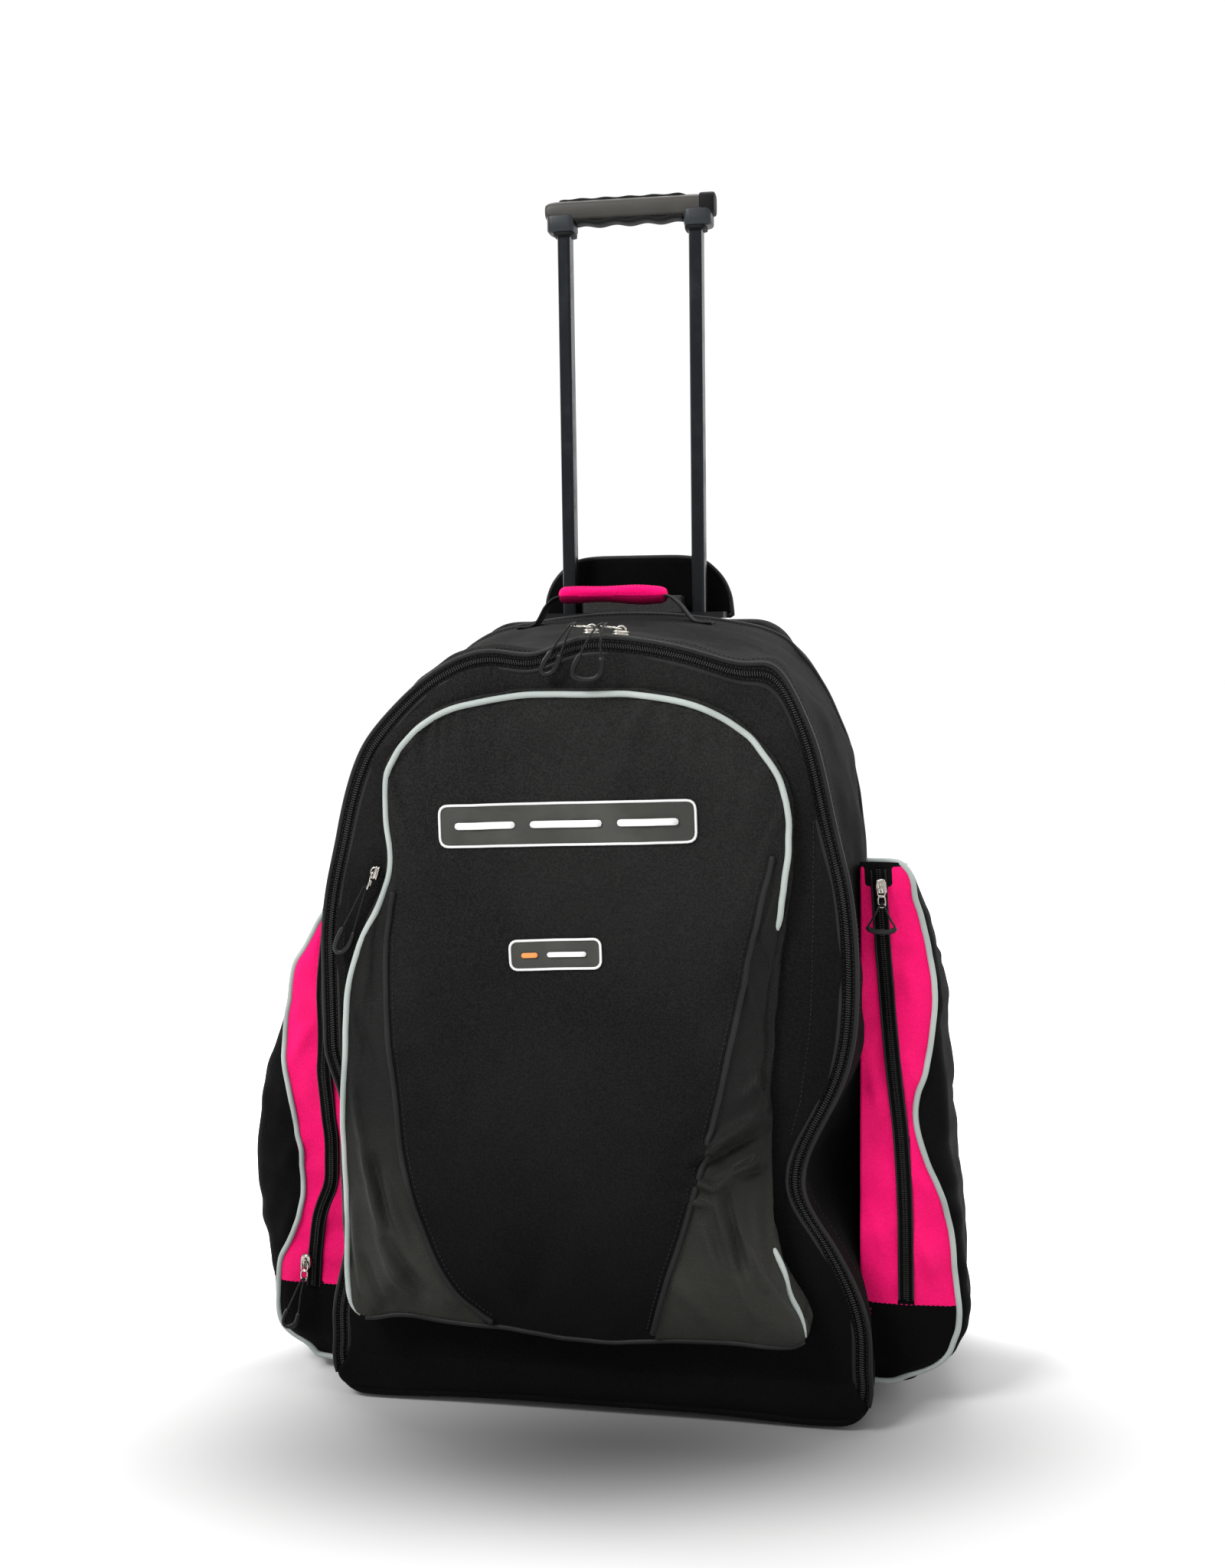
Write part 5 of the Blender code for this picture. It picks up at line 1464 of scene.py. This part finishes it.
def flap():
    width, top, foot = FLAP_HIGH.x, FLAP_HIGH.z, FLAP_LOW.z
    half = through([(0.0, top), (0.045, top - 0.0005), (0.066, top - 0.0045), (0.078, top - 0.013),
                    (0.088, top - 0.025), (0.094, top - 0.039), (width + 0.003, foot + 0.010),
                    (width + 0.004, foot + 0.001)], 60)
    ring = np.vstack([half, half[::-1] * np.array([-1.0, 1.0])])
    ring = spaced(ring, 160, closed=True)
    centre = np.array([0.0, (top + foot) / 2 - 0.004])
    middle = (FLAP_LOW.y + FLAP_HIGH.y) / 2
    rows = [at_depth(ring + (centre - ring) * step, middle + puff) for step, puff in (
        (0.5, -0.0030), (0.15, -0.0029), (0.04, -0.0024), (0.0, -0.0008),
        (0.0, 0.0008), (0.04, 0.0024), (0.15, 0.0029), (0.5, 0.0030),
    )]
    made = grid("cover_flap", rows, COVER, around=True, ends=True)
    points = coordinates(made)
    points[:, 1] += rumple(points, 0.035, 0.0018, 13)
    set_coordinates(made, points)
    place(made, "flap", "black_canvas", "handle_cover_flap")
    edge = at_depth(ring, middle)
    edge[:, 1] += rumple(edge, 0.035, 0.0018, 13)
    bar("flap_binding", edge, 0.0026, BLACK_PIPING, "flap", "black_canvas", closed=True)


def carry_handle(shell):
    low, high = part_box("carry_webbing")
    wrap_low, wrap_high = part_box("carry_wrap")
    y = (low.y + high.y) / 2
    bar = (wrap_low.z + wrap_high.z) / 2
    feet = []
    for x in (low.x + 0.001, low.x + 0.019, high.x - 0.019, high.x - 0.001):
        spot, _, _, _ = shell.ray_cast(Vector((x, y, 0.8)), Vector((0, 0, -1)))
        feet.append((x, y, spot.z + 0.0012))
    route = [feet[0], feet[1], (wrap_low.x - 0.010, y, bar - 0.008),
             (wrap_low.x + 0.006, y, bar), (-0.009, y, bar + 0.0015), (wrap_high.x - 0.006, y, bar),
             (wrap_high.x + 0.010, y, bar - 0.008), feet[2], feet[3]]
    line = through(route, 90)
    across = -facing_front(90)
    out = np.cross(frames_along(line), across)
    out *= np.sign(out[:, 2:3] + 1e-6)
    ribbon("carry_strap", line, across, out, 0.0245, 0.0022, WEBBING, "bag", "webbing", "carry_webbing")
    for number, (a, b) in enumerate((feet[:2], feet[2:])):
        x, foot = (a[0] + b[0]) / 2, (a[2] + b[2]) / 2
        box = [(x + a * 0.006, y + b * 0.008, foot + 0.0014)
               for a, b in ((-1, -1), (1, -1), (1, 1), (-1, 1), (-1, -1), (1, 1))]
        spots = np.vstack([np.linspace(a, b, 12) for a, b in zip(box, box[1:])])
        sew(f"carry_box_stitches_{number}", spots, np.tile([0.0, 0.0, 1.0], (len(spots), 1)), "bag", "webbing")
    span = np.linspace(wrap_low.x + 0.001, wrap_high.x - 0.001, 56)
    rows = []
    for i, x in enumerate(span):
        end = min(1.0, min(i + 1.0, len(span) - i) / 3.0) ** 0.4
        sag = 0.0022 * hump(x, 0.022, 0.030)
        turn = turns(36)
        wide = squared(turn, 0.8)[0] * 0.0150
        tall = np.sin(turn) * (0.0076 + 0.0008 * math.sin(x * 90)) - np.where(np.sin(turn) < 0, sag, 0)
        arch = 0.0016 * (1 - ((x + 0.009) / 0.054) ** 2)
        rows.append(np.stack([np.full(36, x), y + wide * end, bar + 0.0002 + arch + tall * end], axis=1))
    wrap = grid("carry_pad", rows, PINK, around=True, ends=True)
    inflate(wrap, voxel=0.0030, pressure=1.5, frames=14, cap=0.0016, held=lambda p: False)
    baked(subdivide(wrap))
    wrap.data.materials.append(PINK_SHADED)
    # the wrap's lower half takes the darker pink copy: painted shade
    for face in wrap.data.polygons:
        face.material_index = 1 if face.center.z < bar - 0.0004 else 0
    place(wrap, "bag", "pink_wrap", "carry_wrap")
    tree = surface(wrap)
    for number, side in enumerate((-0.0105, 0.0105)):
        spots, normals = on_surface(tree, [(x, y + side, bar + 0.02) for x in span[2:-2]])
        sew(f"carry_pad_stitches_{number}", spots, normals, "bag", "pink_wrap", PINK_THREAD,
            pitch=0.0036, length=0.0022, radius=0.0003)


def lining_panel():
    """The dark lining that shows between the tubes, behind the carry handle."""
    x = np.linspace(-0.050, 0.050, 30)
    rows = []
    for share in np.linspace(0, 1, 14):
        z = 0.7005 + 0.0225 * share
        y = 0.1255 + 0.0012 * np.sin(x * 60 + share) - 0.0015 * share
        rows.append(np.stack([x, y, np.full(len(x), z)], axis=1))
    made = grid("collar_lining", rows, LINING)
    wall(made, 0.0012, 0.0)
    place(made, "bag", "black_canvas")


# --- Handle, chassis and wheels -------------------------------------------------------------------------------
def bar_section(count, wide, tall, power):
    cosines, sines = squared(turns(count), power)
    return np.stack([cosines * wide, sines * tall], axis=1)


def grip():
    y = (GRIP_LOW.y + GRIP_HIGH.y) / 2
    half = GRIP_HIGH.x
    bar_high, bar_low = GRIP_HIGH.z, GRIP_HIGH.z - 0.0205
    middle, tall = (bar_high + bar_low) / 2, (bar_high - bar_low) / 2
    section = bar_section(48, 0.0128, tall, 0.62)
    rows = []
    for t in np.linspace(-1, 1, 90):
        x = half * math.copysign(abs(t) ** 0.85, t)
        end = max((1 - min(1.0, abs(x) / half) ** 14) ** 0.5, 0.25)
        rows.append([(x, y + a * (0.85 + 0.15 * end), middle + b * (0.55 + 0.45 * end)) for a, b in section])
    loft("grip_bar", rows, GRIP, "handle", "moulded_grey", "grip_shell")
    rows = []
    for x, share in ((0.0700, 0.90), (0.0705, 1.0), (0.0730, 1.03),
                     (0.0820, 1.03), (0.0845, 1.0), (0.0852, 0.90)):
        rows.append([(x, y + a * 1.02 * share, middle + 0.0006 + b * 1.05 * share) for a, b in section])
    loft("grip_end_cap", rows, SOFT_GRIP, "handle", "moulded_grey")
    for side_name, way in (("left", -1.0), ("right", 1.0)):
        x0, x1 = 0.0545, half - 0.0012
        centre, wide = (x0 + x1) / 2, (x1 - x0) / 2
        rows = []
        for z, share in ((GRIP_LOW.z, 0.80), (GRIP_LOW.z + 0.0010, 0.93), (GRIP_LOW.z + 0.003, 1.0),
                         (GRIP_LOW.z + 0.010, 1.0), (GRIP_LOW.z + 0.0155, 1.01), (bar_low + 0.0060, 0.99)):
            rows.append([(way * centre + a * share, y + b * share, z)
                         for a, b in bar_section(40, wide, 0.0131, 0.35)])
        loft("grip_bracket_" + side_name, rows, BRACKET, "handle", "moulded_grey")
        tube_low, tube_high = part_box("inner_tube_" + side_name)
        tube_x = (tube_low.x + tube_high.x) / 2
        rows = []
        for z, share in ((GRIP_LOW.z - 0.0030, 0.86), (GRIP_LOW.z - 0.0024, 1.0), (GRIP_LOW.z + 0.0004, 1.04)):
            rows.append([(tube_x + a * share, y + b * share, z)
                         for a, b in bar_section(36, 0.0105, 0.0125, 0.4)])
        loft("grip_collar_" + side_name, rows, SOFT_GRIP, "handle", "moulded_grey")
    rows = []
    for x in np.linspace(-0.0535, 0.0535, 70):
        wave = 0.0011 * math.cos(x * 2 * math.pi / 0.031)
        rows.append([(x, y + a, bar_low - 0.0006 + b - wave) for a, b in bar_section(32, 0.0100, 0.0034, 0.7)])
    loft("grip_finger_pad", rows, SOFT_GRIP, "handle", "grip_black", "grip_pad")
    rows = []
    span = np.linspace(-0.0700, 0.0560, 80)
    for i, x in enumerate(span):
        end = min(1.0, min(i + 0.6, len(span) - i - 0.4) / 4.0) ** 0.5
        wave = 0.0005 * math.cos(x * 2 * math.pi / 0.024)
        rows.append([(x, y + a * (0.8 + 0.2 * end), bar_high - 0.0004 + (b + wave) * end)
                     for a, b in bar_section(32, 0.0088, 0.0024, 0.75)])
    loft("release_strip", rows, SOFT_GRIP, "release", "grip_black", "release_button")


def turned_ring(name, profile, centre, material, segments=96):
    """A closed (radius, x) profile turned about a line along X."""
    rows = []
    for a in turns(segments):
        rows.append([(centre.x + along, centre.y + radius * math.cos(a), centre.z + radius * math.sin(a))
                     for radius, along in profile])
    return close_ring(grid(name, rows, material, around=True), segments, len(profile))


def wheels():
    for side_name in ("left", "right"):
        low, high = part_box("wheel_tyre_" + side_name)
        centre, radius, half = (low + high) / 2, (high.z - low.z) / 2, (high.x - low.x) / 2
        tread = [(radius, a) for a in np.linspace(half - 0.006, 0.006 - half, 13)]
        tread = [(r - (0.0010 if i % 4 == 2 else 0.0), a) for i, (r, a) in enumerate(tread)]
        shoulder = [(0.0304, half - 0.0022), (0.0340, half - 0.0004), (0.0380, half - 0.0002),
                    (0.0405, half - 0.002)]
        profile = [*shoulder, *tread, *((r, -a) for r, a in reversed(shoulder))]
        tyre = turned_ring("tyre_" + side_name, profile, centre, TYRE)
        place(tyre, "wheel_" + side_name, "wheel_rubber", "wheel_tyre_" + side_name)
        rim = [(0.0300, 0.0098), (0.0280, 0.0100), (0.0262, 0.0094), (0.0255, 0.0060), (0.0255, -0.0060),
               (0.0262, -0.0094), (0.0280, -0.0100), (0.0300, -0.0098)]
        place(turned_ring("rim_" + side_name, rim, centre, HUB), "wheel_" + side_name, "wheel_hub",
              "wheel_hub_" + side_name)
        boss = [(0.0150, 0.0096), (0.0118, 0.0098), (0.0118, -0.0098), (0.0150, -0.0096), (0.0156, -0.0050),
                (0.0156, 0.0050)]
        place(turned_ring("boss_" + side_name, boss, centre, HUB), "wheel_" + side_name, "wheel_hub")
        for number in range(6):
            a = number * math.pi / 3
            rows = []
            for reach in np.linspace(0.0150, 0.0262, 8):
                spread = 0.0030 + 0.0022 * ((reach - 0.0205) / 0.0055) ** 2
                point = []
                for u, v in bar_section(16, spread, 0.0062, 0.5):
                    cy = reach * math.cos(a) - u * math.sin(a)
                    cz = reach * math.sin(a) + u * math.cos(a)
                    point.append((centre.x + v, centre.y + cy, centre.z + cz))
                rows.append(point)
            loft(f"spoke_{side_name}_{number}", rows, HUB, "wheel_" + side_name, "wheel_hub")


KEPT = {
    **dict.fromkeys(("frame_sheet", "base_board"), BOARD),
    **dict.fromkeys(("base_chassis", "skid_left", "skid_right", "strap_buckle_left", "strap_buckle_right",
                     "tube_bezel"), MOULDED),
    **dict.fromkeys(("outer_tube_left", "outer_tube_right", "inner_tube_left", "inner_tube_right"), TUBE),
    **dict.fromkeys(("push_rod_left", "push_rod_right", "lock_pin_left", "lock_pin_right", "axle_bolt_left",
                     "axle_bolt_right", "wheel_bearings_left", "wheel_bearings_right"), STEEL),
}


def kept_nodes():
    """CAD nodes that show as they are, with a better material and smooth round faces."""
    for name, material in KEPT.items():
        obj = frame["nodes"][name]
        obj.data.materials.clear()
        obj.data.materials.append(material)
        obj.data.shade_smooth()
        obj.data.set_sharp_from_angle(angle=math.radians(32))


def main():
    camera()
    sliders()
    studio()
    kept_nodes()
    shell = body()
    zip_band()
    door()
    sewn_patches(front_pocket())
    side_pocket("left", -1.0, surface(shell))
    side_pocket("right", 1.0, surface(shell))
    back_cover()
    straps()
    flap()
    carry_handle(surface(shell))
    lining_panel()
    grip()
    wheels()


main()
